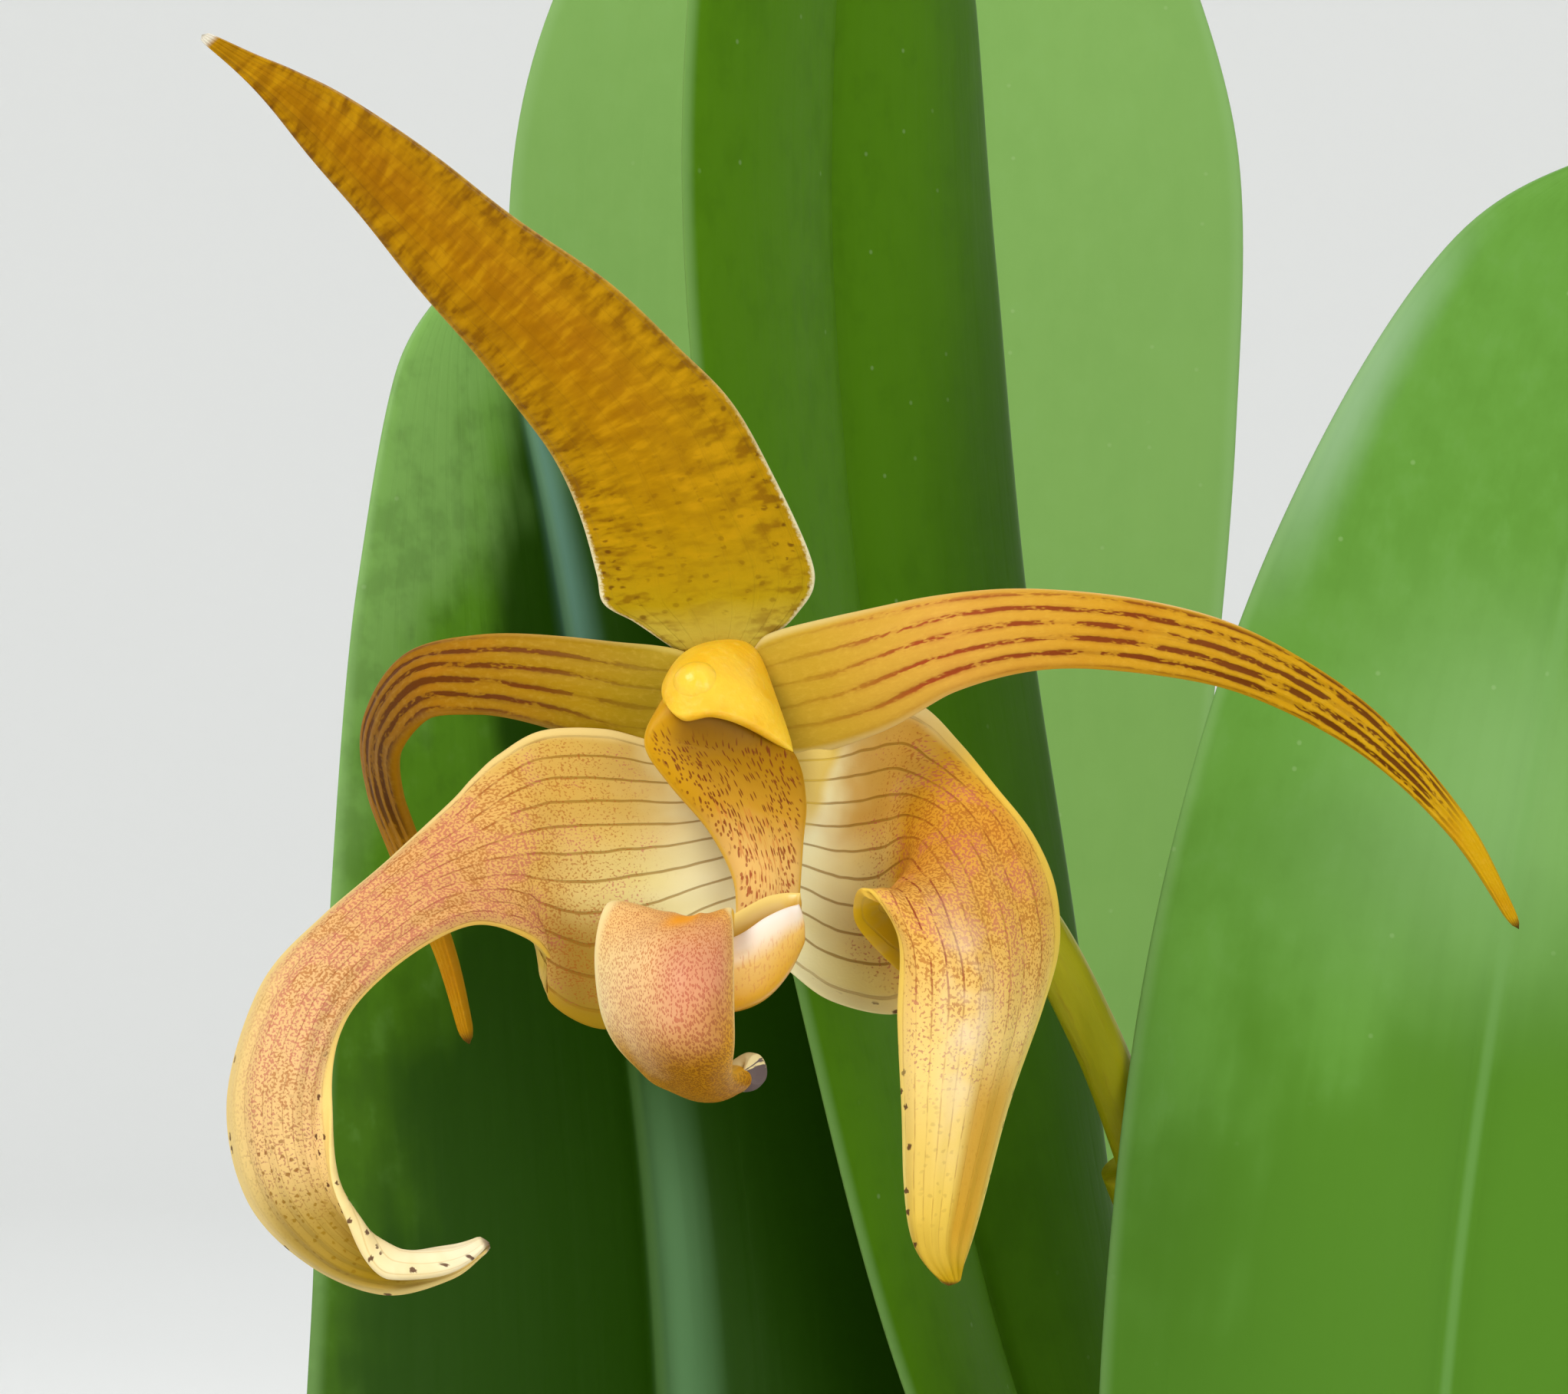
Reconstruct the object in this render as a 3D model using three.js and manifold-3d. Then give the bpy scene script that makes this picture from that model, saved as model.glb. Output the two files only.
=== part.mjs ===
// A potted orchid in flower: one bloom with a hinged lip on a bent stem, six leaves on pseudobulbs,
// a creeping stem with its roots, bark mix, and a plain clay pot.
// Millimetres, +Z up, the flower faces -Y, and the origin is the centre of the pot's underside.
import * as THREE from "three";
import { mergeVertices } from "three/addons/utils/BufferGeometryUtils.js";
import Module from "manifold-3d";

// Driving dimensions
const GAP = 0.3; // clearance between two pieces that touch
const SEED = 11;

const POT = {
  height: 120,
  footRadius: 48,
  neckRadius: 62,
  rimRadius: 70,
  rimHeight: 22,
  wall: 5,
  floor: 7,
  edge: 1.5, // how far each sharp edge is taken off
  flare: 0.6, // how much wider the rim is at its top
  sides: 40,
  drainRadius: 5,
  drainRing: 26,
  drains: 4,
};
const MEDIUM = { top: 106, dome: 3, shoulder: 0.7, shoulderRise: 0.6 };
const CHIPS = {
  count: 34,
  length: [9, 16],
  width: [6, 11],
  depth: [3, 5],
  trim: [0.7, 1.1], // each corner's share of the full size
  tilt: 0.4,
  lift: [-0.6, 1],
  fromWall: 10,
};
const RHIZOME = { axis: 109.6, radius: 3.2, sides: 7, rings: 6, ringed: 0.1, tipFrom: 0.95, tipSlope: 12 };
const ROOT = {
  radius: 1.25,
  taper: [1.15, 0.65], // shares of the radius at the start and the end
  sides: 5,
  steps: 6,
  perJoint: 2,
  reach: 26,
  ring: 52, // no root goes past this distance from the pot's centre line
  swing: 0.4,
};
// A root's course: share of its reach, depth under the creeping stem, and share of its swing
const ROOT_COURSE = [
  [0, 0, 0],
  [0.3, 0.6, 0],
  [0.65, 1.6, 1],
  [0.9, 6, 1],
  [1, 16, 1],
];
const FLOWER = new THREE.Vector3(-14, -45, 262); // the hub, where sepals, petals and column meet
const SCAPE_RADIUS = 1.6;
const SCAPE_TAPER = 0.15; // share of the radius that the stem gains down to the creeping stem
const PEDICEL_RADIUS = 1.5;
const OVARY_SWELL = 0.5; // share of the radius that the pedicel gains at the flower
const SEPAL_THICK = { middle: 1.2, edge: 0.7 };
const PETAL_THICK = { middle: 1.1, edge: 0.7 };
const LIP_THICK = { middle: 1.8, edge: 0.8 };
const FOOT_THICK = { middle: 2.6, edge: 1.1 };
const LEAF_THICK = { middle: 2.4, edge: 0.9 };

// Where each pseudobulb stands on the creeping stem, with its height and its widest radius
const BULBS = [
  { x: -20, y: -10, height: 36, radius: 11 },
  { x: 28, y: 10, height: 38, radius: 11.5 },
  { x: 0, y: 44, height: 40, radius: 12 },
  { x: 22, y: -24, height: 34, radius: 10.5 },
  { x: -37, y: 24, height: 34, radius: 11 },
  { x: -28, y: -38, height: 28, radius: 9 },
];
const BULB_PROFILE = [0.42, 0.8, 1, 0.96, 0.76, 0.5, 0.3]; // shares of the widest radius, foot to top
const BULB_LEAN = 0.02;
const FURROWS = { count: 6, depth: 0.035 };
// The creeping stem runs through the pseudobulbs in two lines, which part under the third one
const RHIZOME_LINES = [
  [2, 4, 0, 5],
  [2, 1, 3],
];
const RHIZOME_TIP = 8; // how far each line runs on past its last pseudobulb

// Flower pieces, each from the hub. Three rails: outer edge, middle and inner edge, base to tip.
const LATERAL_LEFT = [
  [[-2.9, 0.5, -5.3], [-0.7, -0.5, -10.7], [0.7, -3, -17.2]],
  [[-6.5, 1, -4], [-4.7, 0.5, -11.1], [-2.9, 0, -20.2]],
  [[-10, 1, -4.1], [-8.4, 0, -11.3], [-6.8, 1.5, -21.3]],
  [[-12.4, 0.5, -5.6], [-10.9, -1, -11.2], [-9.7, 1.5, -19.4]],
  [[-15.1, -0.5, -8.4], [-13.5, -2, -11.9], [-10.8, -1, -15.7]],
  [[-18.3, -2, -11.3], [-16.5, -3.5, -13.2], [-13.9, -3, -15.3]],
  [[-22.2, -4, -14.8], [-20.1, -5.5, -16.1], [-18, -5, -17.5]],
  [[-25.6, -5.5, -18.8], [-23.1, -7.5, -19.7], [-20.9, -6.5, -20.6]],
  [[-27.4, -6, -24.8], [-24.5, -8.5, -24.7], [-22.1, -7.5, -25.1]],
  [[-26.1, -6.5, -30.5], [-23.7, -9, -29.5], [-21.6, -8.5, -29.4]],
  [[-22.6, -8, -34.1], [-21, -9.5, -32.9], [-19.6, -9.5, -31.9]],
  [[-18.4, -9.5, -35.6], [-17.7, -10, -34.2], [-17.1, -10.5, -33.1]],
  [[-14.6, -11, -34.6], [-14.6, -11.2, -33.7], [-14.4, -11.5, -32.8]],
  [[-12.5, -11.5, -33], [-12.3, -11.5, -32.6], [-12.1, -11.5, -32.3]],
];
const LATERAL_RIGHT = [
  [[6.2, 0.5, -4.7], [5.1, 0, -10.9], [3.6, -3, -17.3]],
  [[8.7, 2, -3.1], [7.1, 3, -11.2], [6.4, 0.5, -19.6]],
  [[11.4, 3.5, -2.8], [9.2, 5, -11], [10, 3.5, -20.5]],
  [[13.9, 3.5, -5.1], [11, 4.5, -10.5], [12.1, 3, -19.4]],
  [[16.1, 3, -7.8], [12, 2, -10.9], [10, 0, -17.6]],
  [[18.1, 2.5, -10.5], [12.6, -1, -12.2], [7.8, -2, -15.1]],
  [[19.3, 2, -13.2], [13.5, -4, -14.3], [8.2, -4.5, -13.1]],
  [[19.4, 1, -16.3], [14.3, -6, -17.4], [10.2, -5.5, -15.8]],
  [[18.4, 0, -19.8], [14.3, -6.5, -20.8], [10.2, -6, -20.4]],
  [[16.8, -1.5, -24.6], [13.6, -6.5, -25.2], [10.3, -6.5, -25.2]],
  [[15.3, -3, -29.4], [12.9, -6.5, -29.6], [10.5, -6.5, -29.6]],
  [[14.1, -4.5, -33.2], [12.5, -6.5, -33.1], [11.1, -6.5, -32.9]],
  [[13.3, -6, -35.3], [13, -6.3, -35.3], [12.6, -6.5, -35.2]],
];
const LIP = [
  [[0.5, -9, -17.5], [1.6, -10, -18], [2.8, -9, -17.3]],
  [[-2.7, -9.5, -15.9], [-0.3, -11, -16.1], [4.2, -8, -15.3]],
  [[-5.1, -11.5, -14.1], [-1.2, -13, -14.6], [4.4, -8, -13.6]],
  [[-6.2, -13.5, -14.9], [-1.7, -15.5, -14.2], [2.3, -12, -13.4]],
  [[-6.6, -14, -17.1], [-2.1, -18, -15.5], [1.1, -15.5, -14.2]],
  [[-6.2, -14, -19.9], [-2.2, -19.5, -18.4], [1, -17.5, -17.8]],
  [[-4.8, -13.5, -22.2], [-1.8, -19, -21.2], [1, -17.5, -20.8]],
  [[-2.9, -12, -24], [-0.9, -16, -23.4], [1.1, -16, -22.8]],
  [[-0.6, -10.5, -24.7], [0.5, -12, -24.4], [1.5, -13, -23.8]],
  [[1.6, -9, -24.6], [1.9, -9.5, -24.2], [2.3, -10, -23.7]],
  [[2.6, -9, -23.4], [2.5, -9.5, -23], [2.3, -10, -22.4]],
];
const FOOT = [
  [[-1.9, -1, -0.1], [-0.4, -1.5, -0.7], [1.8, -1, 0.1]],
  [[-3.4, -3.5, -2.9], [-0.4, -2.8, -3.1], [3.3, -2.5, -3.1]],
  [[-4.2, -4.5, -5], [0, -2.4, -5.5], [4.7, -3, -5.8]],
  [[-3.5, -4.5, -7.1], [0.9, -2.8, -7.7], [5.2, -3.8, -8.2]],
  [[-1.5, -4.5, -9.6], [2, -3.8, -10.4], [5.1, -4.5, -10.6]],
  [[0.3, -5.5, -12.5], [2.7, -5, -13], [4.8, -5.5, -13.2]],
  [[0.9, -7.5, -15.6], [2.9, -6.8, -15.8], [4.7, -7, -15.6]],
  [[1.1, -9, -17.7], [2.5, -9, -18.1], [3.8, -8.5, -17.7]],
  [[1.2, -10.5, -18.6], [2, -10.8, -19.1], [2.7, -10.5, -18.9]],
];
// Spine points with half the width, the turn about the spine in degrees, and the dish of the face
const DORSAL = [
  [-0.5, 1.5, 0.8, 1.6, 0, 0],
  [-0.5, 1.2, 2, 4.2, 0, -0.5],
  [-0.5, 1, 3.8, 6.2, 0, -1],
  [-1.9, 0.5, 8.2, 6, 0, -1.4],
  [-5.4, -0.5, 13.3, 5.1, 0, -1.6],
  [-10.3, -2, 18.7, 4.3, 0, -1.6],
  [-15.9, -4, 23.9, 3.2, 0, -1.2],
  [-21.2, -6.5, 28.7, 2.3, 0, -0.8],
  [-25.2, -8.5, 31.9, 1.1, 0, -0.4],
  [-28.8, -10, 34.3, 0.4, 0, 0],
];
const PETAL_LEFT = [
  [-2, 0.5, -2.6, 3, 0, 0],
  [-5.1, 1.5, -2, 3, 0, -0.6],
  [-9.2, 3, -1.3, 2.5, 0, -0.6],
  [-13.7, 5, -1.1, 2.3, 0, -0.5],
  [-17.4, 7.5, -1.6, 2.3, 25, -0.4],
  [-19.6, 11, -4.4, 2, 50, -0.3],
  [-19.7, 14.5, -8, 1.6, 50, -0.3],
  [-18.4, 18, -11.9, 1.2, 45, -0.2],
  [-16.5, 21, -17.1, 0.7, 30, 0],
  [-14.9, 22, -23, 0.35, 20, 0],
];
const PETAL_RIGHT = [
  [3.1, 0.5, -2.4, 3.6, 0, 0],
  [7.8, 0, -0.8, 3.5, 0, -0.6],
  [12.7, -0.8, 0.7, 2.75, 0, -0.6],
  [18.4, -1.2, 1.4, 2.3, 0, -0.5],
  [24.3, -0.8, 1, 2.05, 0, -0.5],
  [30.7, 0.5, -0.9, 1.85, 0, -0.4],
  [36.8, 2, -4.5, 1.5, 0, -0.3],
  [42.2, 3.5, -9.9, 0.95, 0, 0],
  [45.9, 5, -15.7, 0.3, 0, 0],
];
const COLUMN = [
  [0.4, 3.2, -1.9, 1.9],
  [0.3, 1.2, -1.7, 2.6],
  [0.1, -1.6, -1.8, 2.9],
  [-0.3, -3.6, -2.2, 2.2],
];
const ANTHER = { at: [-1, -4.2, -1.6], size: [2.3, 1.7, 1.9] };
const PEDICEL = [
  [0.8, 4, -2.6],
  [4, 8.5, -5],
  [11, 12, -9.4],
  [17.4, 14.5, -14.4],
  [22, 17.5, -22.2],
  [25.9, 21.6, -32.4],
];
const SCAPE = [
  [25.2, 20.8, -30],
  [26.4, 22.2, -34],
  [29.8, 26, -50],
  [34.4, 31.5, -80],
  [39.6, 36, -112],
  [44, 38.5, -147],
];
const SCAPE_SHEATHS = [0.26, 0.54, 0.82]; // places along the stem, from the flower down
const SHEATH = { share: 0.09, lift: 0.6 };
const BRACT = { share: 0.07, lift: 1.1 }; // the cup at the top, in which the pedicel stands

// Leaves: spine points from the pot's origin with half the width, the turn and the dish, stalk to tip
const LEAVES = [
  {
    face: [0, -1, 0],
    rows: [
      [-19.5, -10, 143, 2.6, 30, 0],
      [-18.6, -9.5, 160, 4.5, 30, 1.5],
      [-17.6, -9, 180, 16, 30, 2],
      [-17.8, -8.5, 205, 24.5, 30, 2],
      [-19, -8.5, 228, 23, 30, 1.5],
      [-21.8, -9, 250, 19, 30, 1.5],
      [-24.6, -10, 268, 14.2, 30, 1],
      [-27.4, -11, 281, 8, 30, 0.5],
      [-28.6, -11.5, 286.5, 1.2, 30, 0],
    ],
  },
  {
    face: [0, -1, 0],
    rows: [
      [27, 9, 145, 2.8, 40, 0],
      [20, 4.5, 170, 3.6, 50, 1],
      [10, 0.5, 198, 8.5, 58, 2],
      [2.4, -2, 219, 14, 58, 2.5],
      [-2.8, -3, 242, 16.8, 58, 2.5],
      [-6.2, -3, 264, 18, 58, 2],
      [-8, -3, 287, 18.4, 58, 2],
      [-7.6, -2, 306, 16.4, 58, 1.5],
      [-6.6, 0, 322, 11, 58, 1],
      [-5.8, 1.5, 330, 1.5, 58, 0],
    ],
  },
  {
    face: [0, -1, 0],
    rows: [
      [0, 45, 147, 3, 0, 0],
      [-0.5, 49.5, 172, 4.2, 0, 1],
      [-1.5, 55, 198, 12, 0, 2],
      [-2.6, 60, 225, 18.4, 0, 2.5],
      [-3.4, 63.5, 252, 22.6, 0, 2.5],
      [-3.8, 65, 278, 25.4, 0, 2],
      [-3.6, 65.5, 300, 25.2, 0, 2],
      [-2.6, 65, 318, 18.5, 0, 1],
      [-2, 64, 330, 9, 0, 0.5],
      [-1.8, 63.5, 334, 1.5, 0, 0],
    ],
  },
  {
    face: [0, -1, 0],
    rows: [
      [22.4, -24.5, 141, 2.6, -6, 0],
      [23.4, -26, 160, 4, -6, 1],
      [25, -27.5, 180, 13, -6, 1.5],
      [27.4, -28.5, 205, 19, -6, 2],
      [29.6, -29, 228, 20.5, -6, 2],
      [32.6, -29.2, 248, 20.2, -6, 1.5],
      [36, -29.6, 267, 17.2, -6, 1],
      [39.4, -30.4, 284, 10.8, -6, 0.5],
      [41.2, -31, 292, 1.6, -6, 0],
    ],
  },
  {
    face: [0, 0, 1],
    rows: [
      [-37.8, 24.5, 141, 2.6, 0, 0],
      [-43, 28, 158, 4, 0, 1],
      [-51, 33.5, 176, 13, 0, 1.5],
      [-64, 41, 194, 19, 0, 2],
      [-78, 48, 206, 19.5, 0, 2],
      [-93, 55, 210, 15, 0, 1.5],
      [-104, 60, 208, 8, 0, 1],
      [-110, 62.5, 205, 1.4, 0, 0],
    ],
  },
  {
    face: [0, 0, 1],
    rows: [
      [-28.6, -38.8, 136, 2.3, 0, 0],
      [-32.5, -45, 150, 3.5, 0, 1],
      [-39, -54, 164, 10.5, 0, 1.5],
      [-51, -67, 177, 15, 0, 2],
      [-61, -78, 184, 14.5, 0, 1.5],
      [-70, -88, 184, 9, 0, 1],
      [-76, -94.5, 181, 1.4, 0, 0],
    ],
  },
];

// Looks
const finish = (color, roughness, metalness = 0) =>
  new THREE.MeshStandardMaterial({ color, roughness, metalness });
const CLAY = finish(0xb5653f, 0.9);
const BARK = finish(0x5a3d28, 0.95);
const RHIZOME_BROWN = finish(0x8a7a4a, 0.8);
const BULB_GREEN = finish(0x7d9a3a, 0.6);
const LEAF_GREEN = finish(0x4f8f2c, 0.45);
const STEM_GREEN = finish(0xa3a23c, 0.5);
const SEPAL_OCHRE = finish(0xd9a02c, 0.55);
const LATERAL_CREAM = finish(0xe8c070, 0.55);
const PETAL_GOLD = finish(0xdfa43a, 0.55);
const COLUMN_YELLOW = finish(0xf0b93a, 0.4);
const ANTHER_YELLOW = finish(0xffd23c, 0.25);
const LIP_ORANGE = finish(0xe0a060, 0.45);

const wasm = await Module();
wasm.setup();
const DEGREE = Math.PI / 180;

// Seeded random numbers from 0 to 1
function randomSource(seed) {
  let state = seed;
  return () => {
    state = (state + 0x6d2b79f5) | 0;
    let t = Math.imul(state ^ (state >>> 15), 1 | state);
    t = (t + Math.imul(t ^ (t >>> 7), 61 | t)) ^ t;
    return ((t ^ (t >>> 14)) >>> 0) / 4294967296;
  };
}
const random = randomSource(SEED);
const between = (low, high) => low + (high - low) * random();

// A smooth curve through rows of numbers: place 0 gives the first row and place 1 the last
function through(rows) {
  const last = rows.length - 1;
  return (place) => {
    const at = THREE.MathUtils.clamp(place, 0, 1) * last;
    const i = Math.min(Math.floor(at), last - 1);
    const f = at - i;
    return rows[i].map((p1, k) => {
      const p2 = rows[i + 1][k];
      const p0 = i > 0 ? rows[i - 1][k] : 2 * p1 - p2;
      const p3 = i + 2 <= last ? rows[i + 2][k] : 2 * p2 - p1;
      const bend = (2 * p0 - 5 * p1 + 4 * p2 - p3) * f * f;
      return 0.5 * (2 * p1 + (p2 - p0) * f + bend + (3 * p1 - p0 - 3 * p2 + p3) * f ** 3);
    });
  };
}

// A sheet is a function of u, -1 to 1 across, and v, 0 to 1 along, that gives a point.
// This one bends through three rails: both edges and the middle.
function railSheet(rows, origin) {
  const row = through(rows.map((rails) => rails.flat()));
  return (u, v) => {
    const r = row(v);
    const point = [0, 1, 2].map((k) => {
      const [a, m, b] = [r[k], r[k + 3], r[k + 6]];
      return m + ((b - a) / 2) * u + ((a + b) / 2 - m) * u * u;
    });
    return new THREE.Vector3(...point).add(origin);
  };
}

// This sheet follows a spine, and its face looks the given way, turned about the spine.
// The section says how far the face rises at u when the dish is 1.
function spineSheet(rows, origin, face, section) {
  const row = through(rows);
  const centre = (v) => new THREE.Vector3(...row(v).slice(0, 3));
  const step = 0.01;
  return (u, v) => {
    const [, , , half, turn, dish] = row(v);
    const along = centre(Math.min(v + step, 1)).sub(centre(Math.max(v - step, 0))).normalize();
    const front = new THREE.Vector3(...face).applyAxisAngle(along, turn * DEGREE);
    const side = new THREE.Vector3().crossVectors(along, front).normalize();
    const normal = new THREE.Vector3().crossVectors(side, along);
    return centre(v)
      .addScaledVector(side, half * u)
      .addScaledVector(normal, dish * section(u))
      .add(origin);
  };
}
const petalSection = (u) => u * u;
// A leathery leaf: sunk at its midrib, each half bulging a little towards its face
const LEAF_BULGE = 0.5;
const leafSection = (u) => Math.abs(u) + LEAF_BULGE * Math.sin(Math.PI * Math.abs(u));

// A geometry from points and triangles, turned to face out
function closedSolid(points, triangles) {
  const flat = new Float32Array(points.length * 3);
  points.forEach((p, i) => flat.set([p.x, p.y, p.z], i * 3));
  const make = (faces) =>
    new wasm.Manifold(
      new wasm.Mesh({ numProp: 3, vertProperties: flat, triVerts: new Uint32Array(faces.flat()) }),
    );
  const made = make(triangles);
  return made.volume() > 0 ? made : make(triangles.map(([a, b, c]) => [a, c, b]));
}

// A blade: the sheet with a thickness, its edges closed. Grown, it is that much larger all round.
function blade(sheet, { along, across, thick, grow = 0 }) {
  const points = [];
  const step = 1e-3;
  const wide = across + 1;
  const layer = wide * (along + 1);
  for (const sign of [1, -1]) {
    for (let j = 0; j <= along; j++) {
      for (let i = 0; i <= across; i++) {
        const u = -1 + (2 * i) / across;
        const v = j / along;
        const du = sheet(u + step, v).sub(sheet(u - step, v)).normalize();
        const dv = sheet(u, Math.min(v + step, 1)).sub(sheet(u, Math.max(v - step, 0))).normalize();
        const normal = new THREE.Vector3().crossVectors(du, dv).normalize();
        const half = (thick.edge + (thick.middle - thick.edge) * (1 - u * u)) / 2 + grow;
        const point = sheet(u, v).addScaledVector(normal, sign * half);
        if (i === 0 || i === across) point.addScaledVector(du, i === 0 ? -grow : grow);
        if (j === 0 || j === along) point.addScaledVector(dv, j === 0 ? -grow : grow);
        points.push(point);
      }
    }
  }
  const triangles = [];
  const quad = (a, b, c, d) => triangles.push([a, b, c], [a, c, d]);
  const front = (i, j) => j * wide + i;
  const back = (i, j) => layer + j * wide + i;
  for (let j = 0; j < along; j++) {
    for (let i = 0; i < across; i++) {
      quad(front(i, j), front(i + 1, j), front(i + 1, j + 1), front(i, j + 1));
      triangles.push([back(i, j), back(i + 1, j + 1), back(i + 1, j)]);
      triangles.push([back(i, j), back(i, j + 1), back(i + 1, j + 1)]);
    }
    quad(front(0, j), front(0, j + 1), back(0, j + 1), back(0, j));
    quad(front(across, j), back(across, j), back(across, j + 1), front(across, j + 1));
  }
  for (let i = 0; i < across; i++) {
    quad(front(i, 0), back(i, 0), back(i + 1, 0), front(i + 1, 0));
    quad(front(i, along), front(i + 1, along), back(i + 1, along), back(i, along));
  }
  return closedSolid(points, triangles);
}

// A limb: rings round a path, closed at both ends. The radius is a function of place and angle.
function limb(points, radius, { sides, steps }) {
  const path = new THREE.CatmullRomCurve3(points.map((p) => new THREE.Vector3(...p)));
  const frames = path.computeFrenetFrames(steps, false);
  const out = [];
  for (let j = 0; j <= steps; j++) {
    const centre = path.getPointAt(j / steps);
    for (let i = 0; i < sides; i++) {
      const angle = (i / sides) * Math.PI * 2;
      const r = radius(j / steps, angle);
      out.push(
        centre
          .clone()
          .addScaledVector(frames.normals[j], r * Math.cos(angle))
          .addScaledVector(frames.binormals[j], r * Math.sin(angle)),
      );
    }
  }
  const triangles = [];
  for (let j = 0; j < steps; j++) {
    for (let i = 0; i < sides; i++) {
      const next = (i + 1) % sides;
      const [low, high] = [j * sides, (j + 1) * sides];
      triangles.push([low + i, low + next, high + next], [low + i, high + next, high + i]);
    }
  }
  out.push(path.getPointAt(0), path.getPointAt(1));
  const [first, last] = [out.length - 2, out.length - 1];
  for (let i = 0; i < sides; i++) {
    const next = (i + 1) % sides;
    triangles.push([first, next, i], [last, steps * sides + i, steps * sides + next]);
  }
  return closedSolid(out, triangles);
}

// A three.js geometry as a solid
function solidOf(geometry) {
  const bare = geometry.clone();
  bare.deleteAttribute("normal");
  bare.deleteAttribute("uv");
  const merged = mergeVertices(bare, 1e-4);
  return new wasm.Manifold(
    new wasm.Mesh({
      numProp: 3,
      vertProperties: merged.attributes.position.array,
      triVerts: new Uint32Array(merged.index.array),
    }),
  );
}

const join = (solids) => solids.reduce((all, one) => all.add(one));
const largest = (solid) => solid.decompose().sort((a, b) => b.volume() - a.volume())[0];
// Cuts a solid clear of its neighbours, each given already grown, and drops loose scraps
const clearOf = (solid, neighbours) =>
  largest(neighbours.reduce((rest, grown) => rest.subtract(grown), solid));
const shifted = (rows, by) => rows.map(([x, y, z, ...rest]) => [x + by.x, y + by.y, z + by.z, ...rest]);

// Pot
function potSolid() {
  const rimFoot = POT.height - POT.rimHeight;
  const slope = (POT.neckRadius - POT.footRadius) / rimFoot;
  const inner = (z) => POT.footRadius + slope * z - POT.wall;
  const profile = [
    [0, 0],
    [POT.footRadius - POT.edge, 0],
    [POT.footRadius, POT.edge],
    [POT.neckRadius, rimFoot],
    [POT.rimRadius - POT.edge, rimFoot],
    [POT.rimRadius, rimFoot + POT.edge],
    [POT.rimRadius + POT.flare, POT.height - POT.edge],
    [POT.rimRadius + POT.flare - POT.edge, POT.height],
    [inner(POT.height) + POT.edge, POT.height],
    [inner(POT.height), POT.height - POT.edge],
    [inner(POT.floor), POT.floor],
    [0, POT.floor],
  ].map(([r, z]) => new THREE.Vector2(r, z));
  const body = solidOf(new THREE.LatheGeometry(profile, POT.sides).rotateX(Math.PI / 2));
  const drains = Array.from({ length: POT.drains }, (_, k) => {
    const angle = ((k + 0.5) / POT.drains) * Math.PI * 2;
    const hole = new THREE.CylinderGeometry(POT.drainRadius, POT.drainRadius, POT.floor * 3, 12);
    hole.rotateX(Math.PI / 2).translate(POT.drainRing * Math.cos(angle), POT.drainRing * Math.sin(angle), 0);
    return solidOf(hole);
  });
  return drains.reduce((rest, hole) => rest.subtract(hole), body);
}

// Bark mix: a plug that fills the pot, with chips on its top
function mediumSolid() {
  const slope = (POT.neckRadius - POT.footRadius) / (POT.height - POT.rimHeight);
  const reach = (z) => POT.footRadius + slope * z - POT.wall - GAP * 1.2;
  const profile = [
    [0, POT.floor + GAP],
    [reach(POT.floor + GAP), POT.floor + GAP],
    [reach(MEDIUM.top), MEDIUM.top],
    [reach(MEDIUM.top) * MEDIUM.shoulder, MEDIUM.top + MEDIUM.dome * MEDIUM.shoulderRise],
    [0, MEDIUM.top + MEDIUM.dome],
  ].map(([r, z]) => new THREE.Vector2(r, z));
  const plug = solidOf(new THREE.LatheGeometry(profile, POT.sides / 2).rotateX(Math.PI / 2));
  const spread = reach(MEDIUM.top) - CHIPS.fromWall;
  const chips = Array.from({ length: CHIPS.count }, () => chipSolid(spread));
  return join([plug, ...chips]);
}
function chipSolid(reach) {
  const size = [CHIPS.length, CHIPS.width, CHIPS.depth].map((range) => between(...range));
  const box = new THREE.BoxGeometry(...size);
  box.deleteAttribute("normal");
  box.deleteAttribute("uv");
  const chip = mergeVertices(box);
  const corners = chip.attributes.position;
  for (let i = 0; i < corners.count; i++) {
    const trim = between(...CHIPS.trim);
    corners.setXYZ(i, corners.getX(i) * trim, corners.getY(i) * trim, corners.getZ(i));
  }
  const r = reach * Math.sqrt(random());
  const angle = between(0, Math.PI * 2);
  const rise = MEDIUM.top + MEDIUM.dome * (1 - r / reach);
  chip.rotateX(between(-CHIPS.tilt, CHIPS.tilt));
  chip.rotateY(between(-CHIPS.tilt, CHIPS.tilt));
  chip.rotateZ(between(0, Math.PI * 2));
  chip.translate(r * Math.cos(angle), r * Math.sin(angle), rise + between(...CHIPS.lift));
  return solidOf(chip);
}

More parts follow.
